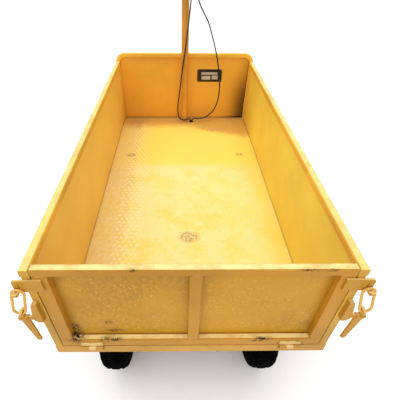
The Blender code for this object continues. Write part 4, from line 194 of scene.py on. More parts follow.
def orange_paint(name, colour, chips=0.5, pale_top=0.75, overspray=0.0, mottle=1.0,
                 marks=(), darkening=None):
    """Sprayed paint with a pale top, partly sun-faded and partly a painted highlight, pale
    edges that are worn and carry a painted highlight, and small chips.

    Each mark is a rusted patch: x, y, z, its radius, and how far it is drawn out sideways.
    """
    material, shader, place = new_finish(name)
    drift = place.noise(2.6, 3.0, 0.55)
    blotch = place.noise(17.0, 3.0, 0.6)
    grain = place.noise(420.0, 1.0)
    deep = tinted(colour, 1 - 0.20 * mottle)
    pale = tinted(colour, 1 + 0.14 * mottle, 0.004)
    paint = drift.within(0.36, 0.66).over(deep, pale)
    paint = (blotch.within(0.50, 0.72) * 0.30).over(paint, pale)

    # Painted highlight: faces that look up are made paler, partly as sun fading and partly as
    # the light falling on them.
    top = place.facing("Z").within(0.80, 0.97)
    paled_top = top * (0.55 + 0.45 * blotch.within(0.30, 0.62)) * pale_top
    paint = paled_top.over(paint, FADE_AND_HIGHLIGHT)
    if overspray:
        dabs = place.stretched((1.5, 1.0, 1.0)).noise(52.0, 4.0, 0.68).within(0.40, 0.66)
        mist = place.noise(120.0, 3.0, 0.6).within(0.57, 0.66)
        mist = mist * place.noise(16.0, 3.0).within(0.30, 0.54)
        paint = (dabs * overspray).over(paint, pale)
        paint = (mist * overspray * 0.55).over(paint, OVERSPRAY)

    # Painted shade and darker bands, from the mask passed in.
    if darkening:
        paint = darkening(place).over(paint, DARK_OVERLAY)
    edge = edges(place, WORN_AND_HIGHLIT_EDGE)
    # Painted highlight: a pale band along every edge, laid over the real wear.
    paint = (edge * 0.35).over(paint, pale)
    flake = place.noise(58.0, 4.0, 0.65)
    worn = edge * flake.within(0.56 - 0.05 * chips, 0.60)
    pits = place.noise(95.0, 3.0, 0.6).within(0.735 - 0.03 * chips, 0.755)
    bare = (worn * chips).either(pits * blotch.within(0.46, 0.56))
    ragged = place.noise(120.0, 4.0, 0.7)
    for x, y, z, radius, drawn_out in marks:
        centre = (x / drawn_out, y, z)
        drawn = place.stretched((1 / drawn_out, 1.0, 1.0))
        eaten = drawn.spot(centre, radius, 0.75) * ragged.within(0.47, 0.50)
        stained = drawn.spot(centre, radius * 1.5, 0.8) * ragged.within(0.36, 0.56)
        paint = (stained * 0.42).over(paint, RUST)
        bare = bare.either(eaten)
    paint = bare.over(paint, flake.within(0.58, 0.72).over(PRIMER, RUST))

    rough = PAINT_ROUGHNESS + 0.20 * blotch + 0.30 * paled_top + 0.25 * bare
    height = grain * 0.10 + drift * 0.5 - bare
    set_surface(shader, paint, rough, height, PAINT_DEPTH)
    return material


def cover(material, *names):
    """Puts one finish on CAD nodes."""
    for name in names:
        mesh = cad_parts[name].data
        mesh.materials.clear()
        mesh.materials.append(material)


POST_WIDTH = 0.024
POST_DEPTH = 0.040
RAIL_BOTTOM = 0.859
post_low, post_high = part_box("side_frame_right")


def post_painted_shade(place):
    """Painted shade in the slit between post and gate, and on the faces turned to the tail."""
    inner_x = post_high.x - POST_WIDTH
    end_y = post_low.y + POST_DEPTH
    # Painted shade: a patchy dark line in the slit beside the gate, and darker faces turned to
    # the tail.
    slit = place.part("X").size().within(inner_x + 0.0006, inner_x + 0.0002)
    slit = slit * place.part("Y").within(end_y + 0.002, end_y)
    slit = slit * place.part("Z").within(RAIL_BOTTOM + 0.001, RAIL_BOTTOM - 0.001)
    patchy = place.noise(40.0, 4.0, 0.6).within(0.32, 0.68) * 0.45 + 0.25
    tail_facing_shade = place.facing("Y").within(-0.5, -0.9) * 0.40
    return (slit * patchy + tail_facing_shade).within(0.0, 1.0)


body_paint = orange_paint("body_paint", shade(239, 183, 64), chips=0.8, darkening=post_painted_shade)
cover(body_paint, "side_frame_left", "side_frame_right")
frame_paint = orange_paint("frame_paint", shade(204, 150, 58),
                           chips=0.9, pale_top=0.15, mottle=0.7)
cover(frame_paint, "deck_frame")


# Deck. A tread plate of 3 mm steel lies on the frame, with raised lens-shaped lugs rolled
# into it that slant left and right in turn. Loads have rubbed its middle pale, and three
# burnt spots show where brackets were once welded under it.

deck_low, deck_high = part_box("deck_plate")
DECK_TOP = deck_high.z
TAIL_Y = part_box("gate_frame")[0].y
NOSE_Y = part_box("headboard_hoop")[1].y
BURNS = (
    (-0.330, TAIL_Y + 1.200, 0.027),
    (0.330, TAIL_Y + 1.205, 0.024),
    (0.004, TAIL_Y + 0.500, 0.046),
)
BURN_SHORTENED = 1.35
UNRUBBED_NOSE = (NOSE_Y - 0.64, NOSE_Y - 0.56)
UNRUBBED_SIDE = (0.36, 0.44)
LEFT_LANE = (-0.246, -0.282)
LEFT_LUGS = (-0.318, -0.346)
DIRTY_NOSE = (NOSE_Y - 0.15, NOSE_Y - 0.05)


def deck_paint(name, lugs=False):
    """Yellow-orange plate rubbed to cream in patches, or the lugs, near white on the left as a
    painted highlight.
    """
    material, shader, place = new_finish(name)
    broad = place.noise(2.1, 3.0, 0.5)
    cloud = place.noise(7.5, 4.0, 0.6)
    fine = place.noise(60.0, 3.0, 0.6)
    ragged = 0.10 * cloud
    across = place.part("X")
    along = place.part("Y")
    paint = broad.within(0.40, 0.62).over(shade(250, 217, 112), shade(251, 226, 126))

    nose = (along + ragged).within(*UNRUBBED_NOSE)
    side = (across + ragged).within(*UNRUBBED_SIDE) * 0.7
    paint = ((nose + side).within(0.0, 1.0) * 0.75).over(paint, shade(253, 223, 94))
    rubbed = (cloud + 0.25 * fine).within(0.44, 0.74) * (1.0 - nose) * (1.0 - side)
    paint = (rubbed * 0.62).over(paint, shade(252, 232, 168))

    left_lane = (across + 0.5 * ragged).within(*LEFT_LANE)
    if lugs:
        left_lane = left_lane * across.within(*LEFT_LUGS)
        # Painted highlight: the lugs on the left are made near white, as if lit on their
        # crests.
        paint = across.within(-0.20, -0.25).over(paint, shade(255, 243, 196))
    trodden = fine.within(0.40, 0.64).over(shade(236, 203, 118), shade(240, 212, 142))
    paint = (left_lane * 0.70).over(paint, trodden)

    swept = across.within(-0.02, 0.40) * 0.15
    near_board = (along + ragged + swept).within(*DIRTY_NOSE)
    paint = (near_board * 0.85).over(paint, shade(214, 160, 74))
    dust = near_board * cloud.within(0.46, 0.60)
    paint = (dust * 0.65).over(paint, shade(196, 160, 98))
    rim = across.size().within(deck_high.x - 0.007, deck_high.x - 0.002)
    rim = rim + along.within(NOSE_Y - 0.036, NOSE_Y - 0.026)
    paint = (rim.within(0.0, 1.0) * 0.38).over(paint, shade(132, 84, 28))

    shortened = place.stretched((1.0, BURN_SHORTENED, 1.0))
    burnt = sum(shortened.spot((x, y * BURN_SHORTENED, DECK_TOP), radius)
                for x, y, radius in BURNS)
    burnt = burnt * place.noise(150.0, 4.0, 0.7).within(0.40, 0.58)
    paint = (burnt * 0.80).over(paint, shade(156, 118, 70))
    specks = place.noise(210.0, 2.0).within(0.715, 0.735) * cloud.within(0.45, 0.60)
    paint = specks.over(paint, shade(128, 92, 50))
    set_surface(shader, paint, 0.46 + 0.22 * cloud + 0.15 * dust, fine * 0.4 + broad, 0.0004)
    return material


cover(deck_paint("deck_paint"), "deck_plate")
lug_finish = deck_paint("lug_paint", lugs=True)
LUG_LENGTH = 0.021
LUG_WIDTH = 0.0056
LUG_HEIGHT = 0.0010
LUG_SUNK = 0.0001
LUG_CREST = (0.66, 0.45)
LUG_STEPS = 5
LUG_PITCH = 0.0250
LUG_SLANT = math.pi / 4
PLAIN_TAIL = 0.032
PLAIN_NOSE = 0.014
PLAIN_SIDE = 0.026
CLEAR_OF_MAST = 0.050
CLEAR_OF_GROMMET = 0.034


def middle_of(node):
    """The middle of a CAD node's box."""
    low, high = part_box(node)
    return (low + high) / 2


def make_thing(name, mesh_data, material, angle=None):
    """Turns mesh data into an object with one finish, sharp where faces meet above an angle."""
    mesh = bpy.data.meshes.new(name)
    bmesh.ops.recalc_face_normals(mesh_data, faces=mesh_data.faces)
    mesh_data.to_mesh(mesh)
    mesh_data.free()
    mesh.materials.append(material)
    mesh.shade_smooth()
    if angle is not None:
        mesh.set_sharp_from_angle(angle=math.radians(angle))
    thing = bpy.data.objects.new(name, mesh)
    bpy.context.scene.collection.objects.link(thing)
    return thing


def make_piece(name, mesh_data, material, body, angle=40):
    """A piece that rides on a body, with the finish it is given."""
    thing = make_thing(name, mesh_data, material, angle)
    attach(thing, body)
    return thing


def add_lug(mesh_data, x, y, turn):
    """One lug: a boat-shaped rise, pointed at both ends."""
    along = Vector((math.cos(turn), math.sin(turn), 0))
    side = Vector((-along.y, along.x, 0))
    outline = []
    for edge in (1, -1):
        for step in range(LUG_STEPS):
            share = step / LUG_STEPS * 2 - 1
            bow = (1 - share * share) ** 0.8
            outline.append((edge * share * LUG_LENGTH / 2, -edge * bow * LUG_WIDTH / 2))
    base = Vector((x, y, DECK_TOP - LUG_SUNK))
    rise = Vector((0, 0, LUG_HEIGHT))
    long, wide = LUG_CREST
    foot = [mesh_data.verts.new(base + along * a + side * b) for a, b in outline]
    crest = [mesh_data.verts.new(base + along * a * long + side * b * wide + rise)
             for a, b in outline]
    for index, vert in enumerate(foot):
        after = (index + 1) % len(foot)
        mesh_data.faces.new((vert, foot[after], crest[after], crest[index]))
    mesh_data.faces.new(crest)


lugs = bmesh.new()
mast_foot = middle_of("mast_tube").xy
grommet = middle_of("cable_grommet").xy
margin = LUG_LENGTH * 0.8
row = 0
y = TAIL_Y + PLAIN_TAIL + margin
while y < NOSE_Y - PLAIN_NOSE - margin:
    column = 0
    x = deck_low.x + PLAIN_SIDE + margin * 0.4 + (row % 2) * LUG_PITCH / 2
    while x < deck_high.x - PLAIN_SIDE - margin * 0.4:
        here = Vector((x, y))
        clear_of_mast = (here - mast_foot).length > CLEAR_OF_MAST
        if clear_of_mast and (here - grommet).length > CLEAR_OF_GROMMET:
            add_lug(lugs, x, y, LUG_SLANT if (row + column) % 2 else -LUG_SLANT)
        x += LUG_PITCH
        column += 1
    y += LUG_PITCH
    row += 1
make_piece("deck_lugs", lugs, lug_finish, "root", angle=70)


# Side walls. A thin steel sheet stands inside each welded frame, and short beads join the
# frame's stakes to its top rail. Both sheets have one paint, set lighter and yellower on the
# right and darker on the left as painted light, and both are darker along their foot.

def wall_foot_darkening(place):
    """A darker line where the sheet meets the deck."""
    return place.part("Z").within(DECK_TOP + 0.006, DECK_TOP + 0.001) * 0.3


# Painted light: one paint in two shades, lighter and yellower on the right sheet, which stands
# in the lamp's light, and darker on the left one, in shade.
left_paint = orange_paint("left_wall_paint", shade(254, 207, 97),
                          chips=0.2, mottle=0.35, darkening=wall_foot_darkening)
right_paint = orange_paint("right_wall_paint", shade(254, 223, 92),
                           chips=0.2, mottle=0.45, darkening=wall_foot_darkening)
cover(left_paint, "side_panel_left")
cover(right_paint, "side_panel_right")
STAKE_X = 0.4493
STAKE_HALF = 0.015
STAKES = 3
STAKE_BEAD = 0.0022
STAKE_BEAD_LENGTH = 0.008
STAKE_BEAD_INSET = 0.006
STAKE_BEAD_DROP = 0.001
BEAD_RIPPLE = 0.0034


def circle(centre, side, up, radius, count):
    """Points round a centre, in the plane of two directions at right angles."""
    turns = (2 * math.pi * k / count for k in range(count))
    return [centre + (side * math.cos(turn) + up * math.sin(turn)) * radius for turn in turns]


def add_rings(mesh_data, rings, closed=False):
    """Skins a run of rings, each a list of points, into one tube, capped unless it closes."""
    rows = [[mesh_data.verts.new(point) for point in ring] for ring in rings]
    pairs = list(zip(rows, rows[1:]))
    if closed:
        pairs.append((rows[-1], rows[0]))
    for near, far in pairs:
        count = len(near)
        for index in range(count):
            after = (index + 1) % count
            mesh_data.faces.new((near[index], near[after], far[after], far[index]))
    if not closed:
        mesh_data.faces.new(rows[0])
        mesh_data.faces.new(rows[-1])


def add_weld(mesh_data, start, end, size):
    """A hand-laid weld: a low bead with a ripple for each drop of metal."""
    start, end = Vector(start), Vector(end)
    along = (end - start).normalized()
    side = along.orthogonal().normalized()
    up = along.cross(side)
    count = max(3, int((end - start).length / BEAD_RIPPLE)) * 2
    rings = []
    for step in range(count + 1):
        swell = size * (0.84 + 0.16 * (step % 2)) * (0.45 if step in (0, count) else 1.0)
        swell *= 0.92 + 0.16 * random.random()
        rings.append(circle(start.lerp(end, step / count), side, up, swell, 8))
    add_rings(mesh_data, rings)


random.seed(11)
side_welds = bmesh.new()
wall_low, wall_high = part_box("side_panel_right")
stake_gap = (wall_high.y - wall_low.y) / (STAKES + 1)
for side in (-1, 1):
    x = side * (STAKE_X - STAKE_BEAD_INSET)
    z = RAIL_BOTTOM - STAKE_BEAD_DROP
    for index in range(STAKES):
        for end in (-1, 1):
            y = wall_low.y + stake_gap * (index + 1) + end * STAKE_HALF
            add_weld(side_welds, (x, y, z), (x - side * STAKE_BEAD_LENGTH, y, z), STAKE_BEAD)
make_piece("side_welds", side_welds, body_paint, "root")


# Headboard. One square tube is bent into a hoop, and the sheet is let into it. A small
# blank plate, black with three pale fields, is held on the sheet by four rivets.

board_low, board_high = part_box("headboard_panel")


def board_painted_shade(place):
    """Painted shade along the sheet's sides and top by the hoop, darker along its foot, and a
    painted shadow that deepens towards its lower right corner.
    """
    across = place.part("X")
    rising = place.part("Z")
    # Painted shade along the sides and top, where the hoop stands proud of the sheet.
    sides = across.size().within(board_high.x - 0.006, board_high.x - 0.001)
    top = rising.within(board_high.z - 0.007, board_high.z - 0.002)
    foot = rising.within(DECK_TOP + 0.016, DECK_TOP + 0.002)
    # Painted shadow on the inner face, deepening towards the lower right and in the right
    # corner.
    right_shadow = across.within(0.20, 0.41) * rising.within(0.92, 0.60) * 0.50
    corner = across.within(board_high.x - 0.110, board_high.x + 0.010) * 0.28
    inner_face = place.facing("Y").within(0.2, -0.5)
    return ((sides + top + foot) * 0.40 + (right_shadow + corner) * inner_face).within(0.0, 1.0)


hoop_paint = orange_paint("hoop_paint", shade(252, 192, 72),
                          chips=0.5, pale_top=0.85, mottle=0.5)
board_paint = orange_paint("headboard_paint", shade(250, 188, 72),
                           chips=0.4, mottle=0.4, darkening=board_painted_shade)
cover(hoop_paint, "headboard_hoop")
cover(board_paint, "headboard_panel")
PLATE_X = 0.168
PLATE_Z = 0.794
PLATE_WIDTH = 0.166
PLATE_HEIGHT = 0.082
PLATE_DEPTH = 0.0014
PLATE_CORNER = 0.006
FIELDS = (
    (-0.002, 0.014, 0.108, 0.016),
    (-0.024, -0.014, 0.060, 0.024),
    (0.036, -0.012, 0.040, 0.026),
)
FIELD_DEPTH = 0.0005
FIELD_SUNK = 0.0002
FIELD_CORNER = 0.002
RIVET_RADIUS = 0.0026
RIVET_INSET = 0.006


def add_slab(mesh_data, centre, width, height, depth, corner):
    """A thin rounded plate that stands on a face looking towards the tail."""
    outline = []
    for quarter, (sx, sz) in enumerate(((1, 1), (-1, 1), (-1, -1), (1, -1))):
        for step in range(4):
            turn = (quarter + step / 3) * math.pi / 2
            outline.append((centre[0] + sx * (width / 2 - corner) + corner * math.cos(turn),
                            centre[2] + sz * (height / 2 - corner) + corner * math.sin(turn)))
    layers = ((centre[1], 0.0), (centre[1] - depth * 0.7, 0.0),
              (centre[1] - depth, corner * 0.25))
    rings = []
    for y, inset in layers:
        rings.append([(centre[0] + (a - centre[0]) * (1 - 2 * inset / width), y,
                       centre[2] + (b - centre[2]) * (1 - 2 * inset / height))
                      for a, b in outline])
    add_rings(mesh_data, rings)


def plain_coat(name, colour, roughness, mottling=0.1, scale=60.0, depth=0.00015,
               metallic=0.0):
    """A moulded, cast or enamelled surface with a fine grain and faint handling marks."""
    material, shader, place = new_finish(name)
    marks = place.noise(scale * 0.18, 4.0, 0.6)
    grain = place.noise(scale * 9.0, 2.0)
    darker = tinted(colour, 1 - mottling)
    lighter = tinted(colour, 1 + mottling, 0.01 * mottling)
    tone = marks.within(0.36, 0.64).over(darker, lighter)
    roughness = roughness + 0.16 * (marks - 0.5)
    set_surface(shader, tone, roughness, grain, depth, metallic, shine=0.4)
    return material


plate_enamel = plain_coat("plate_enamel", shade(30, 27, 26), 0.30, 0.3)
plate_field = plain_coat("plate_field", shade(196, 192, 184), 0.42, 0.12)
rivet_metal = plain_coat("rivet_metal", shade(176, 176, 178), 0.30, 0.1, metallic=0.9)
BOARD_FACE = board_low.y
plate = bmesh.new()
add_slab(plate, (PLATE_X, BOARD_FACE, PLATE_Z), PLATE_WIDTH, PLATE_HEIGHT, PLATE_DEPTH,
         PLATE_CORNER)
make_piece("blank_plate", plate, plate_enamel, "root")
fields = bmesh.new()
for x, z, wide, high in FIELDS:
    centre = (PLATE_X + x, BOARD_FACE - PLATE_DEPTH + FIELD_SUNK, PLATE_Z + z)
    add_slab(fields, centre, wide, high, FIELD_DEPTH, FIELD_CORNER)
make_piece("blank_plate_fields", fields, plate_field, "root")
rivets = bmesh.new()
for sx in (-1, 1):
    for sz in (-1, 1):
        centre = (PLATE_X + sx * (PLATE_WIDTH / 2 - RIVET_INSET),
                  BOARD_FACE - PLATE_DEPTH * 0.8,
                  PLATE_Z + sz * (PLATE_HEIGHT / 2 - RIVET_INSET))
        dome = bmesh.ops.create_uvsphere(rivets, u_segments=12, v_segments=6,
                                         radius=RIVET_RADIUS)
        bmesh.ops.scale(rivets, verts=dome["verts"], vec=(1.0, 0.5, 1.0))
        bmesh.ops.translate(rivets, verts=dome["verts"], vec=centre)
make_piece("plate_rivets", rivets, rivet_metal, "root")


# Tailgate. Two rails and three stiles are welded round a recessed sheet that has caught
# a mist of pale overspray. It hangs on two hinges, and two latches hold it at the posts.

gate_low, gate_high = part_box("gate_frame")
GATE_TOP_RAIL = 0.026
GATE_FOOT_RAIL = 0.040
STILE_WIDTH = 0.039
STILES = (
    (gate_low.x, gate_low.x + STILE_WIDTH),
    (-0.013, 0.021),
    (gate_high.x - STILE_WIDTH, gate_high.x),
)
GATE_BEAD = 0.0020
GATE_BEAD_SUNK = 0.0012
GATE_BEAD_INSET = 0.004
LEDGE_Z = gate_low.z + GATE_FOOT_RAIL
SHEET_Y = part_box("gate_panel")[0].y
FRAME_MARKS = (
    (-0.374, TAIL_Y + 0.015, LEDGE_Z, 0.020, 1.0),
    (-0.280, TAIL_Y, LEDGE_Z - 0.003, 0.009, 1.4),
    (-0.245, TAIL_Y, LEDGE_Z, 0.008, 1.8),
    (0.229, TAIL_Y, LEDGE_Z - 0.002, 0.006, 4.0),
    (0.215, TAIL_Y, LEDGE_Z - 0.011, 0.004, 4.0),
    (0.296, TAIL_Y, gate_high.z - 0.001, 0.003, 6.0),
    (0.352, TAIL_Y, gate_high.z - 0.001, 0.004, 3.0),
    (-0.160, TAIL_Y, gate_high.z, 0.004, 2.0),
)
SHEET_MARKS = (
    (-0.376, SHEET_Y, LEDGE_Z + 0.044, 0.017, 1.0),
    (-0.374, SHEET_Y, LEDGE_Z + 0.006, 0.018, 1.0),
    (-0.262, SHEET_Y, LEDGE_Z + 0.070, 0.007, 1.2),
    (-0.248, SHEET_Y, LEDGE_Z + 0.022, 0.006, 3.0),
)


def gate_slit_shade(place):
    """Painted shade on the stiles' outer sides, in the slit beside each post."""
    return place.part("X").size().within(gate_high.x - 0.0006, gate_high.x - 0.0002) * 0.9


def sheet_edge_darkening(place):
    """Darker on the sheet along its stiles and under the top rail."""
    across = place.part("X")
    ends = across.size().within(gate_high.x - 0.090, gate_high.x - 0.038)
    centre = (across - 0.004).size().within(0.060, 0.016)
    top = place.part("Z").within(gate_high.z - 0.070, gate_high.z - 0.024)
    return (ends * 0.30 + centre * 0.16 + top * 0.20).within(0.0, 1.0)


# Painted shade: the gate's paint and its sheet are set darker than the body's, for the face
# turned to the tail, away from the light.
gate_paint = orange_paint("gate_paint", shade(194, 136, 32), chips=0.9, pale_top=0.95,
                          mottle=0.6, marks=FRAME_MARKS, darkening=gate_slit_shade)
gate_sheet = orange_paint("gate_sheet_paint", shade(196, 141, 27), chips=0.7, overspray=0.6,
                          mottle=0.9, marks=SHEET_MARKS, darkening=sheet_edge_darkening)
cover(gate_paint, "gate_frame")
cover(gate_sheet, "gate_panel")
gate_welds = bmesh.new()
y = gate_low.y + GATE_BEAD_SUNK
for low, high in STILES:
    for z in (gate_high.z - GATE_TOP_RAIL, gate_low.z + GATE_FOOT_RAIL):
        add_weld(gate_welds, (low + GATE_BEAD_INSET, y, z), (high - GATE_BEAD_INSET, y, z),
                 GATE_BEAD)
make_piece("gate_welds", gate_welds, gate_paint, "tailgate")


# Hinges and latches. Folded leaves turn on plain pins. A bent wire ring hangs in the
# gate's keeper on each side, and the claw of a cast lever on the rear post holds it.

LEAF_RUST = 0.007
fitting_paint = orange_paint("fitting_paint", shade(190, 136, 36),
                             chips=0.7, pale_top=0.55, mottle=0.6)
cover(fitting_paint, "latch_keeper_left", "latch_keeper_right",
      "latch_lug_left", "latch_lug_right", "latch_lever_left", "latch_lever_right")
ring_paint = orange_paint("ring_paint", shade(224, 174, 84), chips=0.9, pale_top=0.4, mottle=0.6)
cover(ring_paint, "latch_ring_left", "latch_ring_right")
for side in ("left", "right"):
    low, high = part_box(f"hinge_leaf_{side}")
    ends = [(x, low.y, (low.z + high.z) / 2, LEAF_RUST, 1.0) for x in (low.x, high.x)]
    leaf_paint = orange_paint(f"leaf_paint_{side}", shade(232, 198, 130),
                              chips=1.2, mottle=0.8, marks=ends)
    cover(leaf_paint, f"hinge_leaf_{side}")


def worn_steel(name, colour, roughness, rust):
    """Zinc-plated or bare steel, dulled and spotted with rust."""
    material, shader, place = new_finish(name)
    cloud = place.noise(34.0, 4.0, 0.62)
    streak = place.stretched((1.0, 1.0, 9.0)).noise(120.0, 3.0)
    tone = cloud.within(0.35, 0.66).over(tinted(colour, 0.72), colour)
    bloom = (cloud + 0.3 * streak).within(0.78 - 0.20 * rust, 0.90 - 0.14 * rust)
    tone = bloom.over(tone, RUST)
    roughness = roughness + 0.18 * streak + 0.35 * bloom
    metallic = 0.92 - 0.80 * bloom
    set_surface(shader, tone, roughness, streak + cloud, 0.0002, metallic)
    return material


zinc = worn_steel("zinc_steel", shade(186, 186, 188), 0.30, 0.25)
bare_steel = worn_steel("bare_steel", shade(150, 148, 146), 0.34, 0.7)
cover(zinc, "mast_bush", "floor_bearing", "steering_shaft", "handlebar", "key",
      "tie_rod", "drag_link")
cover(bare_steel, "hinge_pin_left", "hinge_pin_right", "spring_clamp_left",
      "spring_clamp_right", "knuckle_left", "knuckle_right")


# Running gear. Beams, tubes and boxes under the deck are sprayed black over mill scale
# and have picked up road dust. The springs are oiled black, and the controller's bare
# alloy block is fixed up under the deck with its fins hanging down.

def road_black(name, colour, roughness, dust):
    """Black paint or plastic that dust has settled on, most on what faces up."""
    material, shader, place = new_finish(name)
    cloud = place.noise(9.0, 4.0, 0.6)
    grain = place.noise(260.0, 2.0)
    settled = 0.25 + 0.75 * place.facing("Z").within(0.2, 0.9)
    settled = settled * cloud.within(0.38, 0.68) * dust
    tone = settled.over(colour, shade(128, 112, 88))
    edge = edges(place, 0.0016) * grain.within(0.42, 0.56) * 0.5
    tone = edge.over(tone, shade(96, 90, 84))
    set_surface(shader, tone, roughness + 0.25 * settled + 0.08 * cloud, grain, 0.00025)
    return material


gear_black = road_black("gear_black", shade(38, 38, 40), 0.42, 0.45)
spring_black = road_black("spring_black", shade(46, 44, 43), 0.36, 0.55)
battery_case = road_black("battery_case", shade(34, 36, 40), 0.40, 0.40)
alloy = plain_coat("controller_alloy", shade(172, 174, 178), 0.38, 0.12, metallic=0.85)
cover(gear_black, "front_axle", "rear_axle", "drive_motor", "battery_tray")
cover(spring_black, "leaf_spring_left", "leaf_spring_right")
cover(battery_case, "battery_pack")
cover(alloy, "controller")


# Wheels. Each tyre is moulded with two rows of blocks on either side of a centre rib,
# and sits on a pressed disc rim in body paint, held to its hub by four zinc nuts.

TREAD_DEPTH = 0.0046
TREAD_STEPS = 144
TREAD_FOOT = 0.1885
RIB_GROOVE = (0.0172, 0.0215)
ROW_GROOVE = (0.0374, 0.0395)
RIB_SLOT = (0.0050, 0.0136)
TYRE_WALL = (
    (0.1023, 0.0324), (0.1075, 0.0330), (0.1120, 0.0372), (0.1180, 0.0430), (0.1215, 0.0445),
    (0.1245, 0.0475), (0.1360, 0.0528), (0.1500, 0.0556), (0.1600, 0.0560), (0.1700, 0.0556),
    (0.1800, 0.0535),
)
TYRE_TREAD = (
    (0.1900, 0.0500), (0.1955, 0.0462), (0.1990, 0.0424), (0.2012, 0.0392), (0.2022, 0.0376),
    (0.2034, 0.0340), (0.2050, 0.0270), (0.2058, 0.0212), (0.2062, 0.0176), (0.2068, 0.0132),
    (0.2072, 0.0072), (0.2074, 0.0036), (0.2075, 0.0),
)
TYRE_INSIDE = (
    (0.1023, -0.0226), (0.1200, -0.0290), (0.1600, -0.0450), (0.1870, -0.0350), (0.1915, 0.0),
    (0.1870, 0.0350), (0.1600, 0.0450), (0.1200, 0.0290), (0.1023, 0.0226),
)
NUTS = 4
NUT_CIRCLE = 0.036
NUT_FACE = 0.0118
NUT_ACROSS = 0.013
NUT_HEIGHT = 0.009
STEM_FOOT = (0.024, 0.0975)
STEM_TIP = (0.043, 0.082)
STEM_PROFILE = (
    (0.0, 0.0050), (0.12, 0.0046), (0.2, 0.0034), (0.62, 0.0031), (0.64, 0.0037),
    (0.97, 0.0036), (1.0, 0.0030),
)


def tyre_rubber():
    """Black rubber, greyed in clouds by dust."""
    material, shader, place = new_finish("tyre_rubber")
    cloud = place.noise(22.0, 4.0, 0.6)
    fine = place.noise(300.0, 2.0)
    tone = (cloud.within(0.40, 0.70) * 0.5).over(shade(3, 3, 4), shade(11, 10, 10))
    set_surface(shader, tone, 0.80 + 0.12 * cloud, fine, 0.0003, shine=0.015)
    return material


def tread_cut(x, step):
    """How deep the mould cuts: long grooves between the rows, and slots between blocks."""
    reach = abs(x)
    late = 1 if x > 0 else 0
    for low, high in (RIB_GROOVE, ROW_GROOVE):
        if low < reach < high:
            return TREAD_DEPTH
    if reach > ROW_GROOVE[1]:
        return TREAD_DEPTH if (step + 2 * late) % 6 in (0, 1) else 0.0
    if reach > RIB_GROOVE[1]:
        return TREAD_DEPTH if (step + 3 * late) % 6 == 0 else 0.0
    if RIB_SLOT[0] < reach < RIB_SLOT[1] and (step + 2 * late) % 6 == 3:
        return TREAD_DEPTH * 0.8
    return 0.0


def tyre_mesh():
    """Outer face from one bead over the tread to the other bead, then back along the inside."""
    side = TYRE_WALL + TYRE_TREAD
    outer = [(r, x) for r, x in side] + [(r, -x) for r, x in reversed(side[:-1])]
    rows = []
    for step in range(TREAD_STEPS):
        turn = 2 * math.pi * step / TREAD_STEPS - math.pi / 2
        profile = [(r - tread_cut(x, step) if r > TREAD_FOOT else r, x) for r, x in outer]
        rows.append([(x, r * math.cos(turn), r * math.sin(turn))
                     for r, x in profile + list(TYRE_INSIDE)])
    shape = bmesh.new()
    add_rings(shape, rows, closed=True)
    return shape


def add_bolt(mesh_data, place, axis, across, height, washer=True):
    """A hexagon head with a chamfered top, on a plain washer or bare, along an axis."""
    place = Vector(place)
    axis = Vector(axis).normalized()
    side = axis.orthogonal().normalized()
    up = axis.cross(side)
    corner = across / math.sqrt(3)
    seat = 0.0
    if washer:
        seat = 0.0012
        add_rings(mesh_data, [circle(place + axis * rise, side, up, across * 0.80, 20)
                              for rise in (0.0, seat)])
    add_rings(mesh_data, [circle(place + axis * (seat + rise), side, up, radius, 6)
                          for rise, radius in ((0.0, corner), (height * 0.85, corner),
                                               (height, corner * 0.86))])


tyre_finish = tyre_rubber()
rim_paint = orange_paint("rim_paint", shade(212, 146, 50), chips=0.7, pale_top=0.2)
valve_rubber = plain_coat("valve_rubber", shade(26, 26, 26), 0.6, 0.2)
for corner in ("fl", "fr", "rl", "rr"):
    side = 1 if corner[1] == "r" else -1
    middle = middle_of(f"tyre_{corner}")
    body = f"wheel_{corner}"
    cover(rim_paint, f"rim_{corner}")
    shape = tyre_mesh()
    bmesh.ops.translate(shape, verts=shape.verts, vec=middle)
    tyre = make_piece(f"treaded_tyre_{corner}", shape, tyre_finish, body,
                      angle=32)
    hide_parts(f"tyre_{corner}")

    nuts = bmesh.new()
    for index in range(NUTS):
        turn = 2 * math.pi * index / NUTS
        spot = middle + Vector((side * NUT_FACE, NUT_CIRCLE * math.cos(turn),
                                NUT_CIRCLE * math.sin(turn)))
        add_bolt(nuts, spot, (side, 0, 0), NUT_ACROSS, NUT_HEIGHT)
    make_piece(f"wheel_nuts_{corner}", nuts, zinc, body, angle=25)

    stem = bmesh.new()
    foot, tip = (Vector((side * x, 0.0, z)) for x, z in (STEM_FOOT, STEM_TIP))
    across = Vector((0, 1, 0))
    up = (tip - foot).normalized().cross(across)
    add_rings(stem, [circle(middle + foot.lerp(tip, share), across, up, radius, 12)
                     for share, radius in STEM_PROFILE])
    make_piece(f"valve_stem_{corner}", stem, valve_rubber, body)


# Steering mast. A thick-walled tube in body paint stands on the deck with a weld all
# round its foot, and holds the steering shaft between a bush and a bearing.

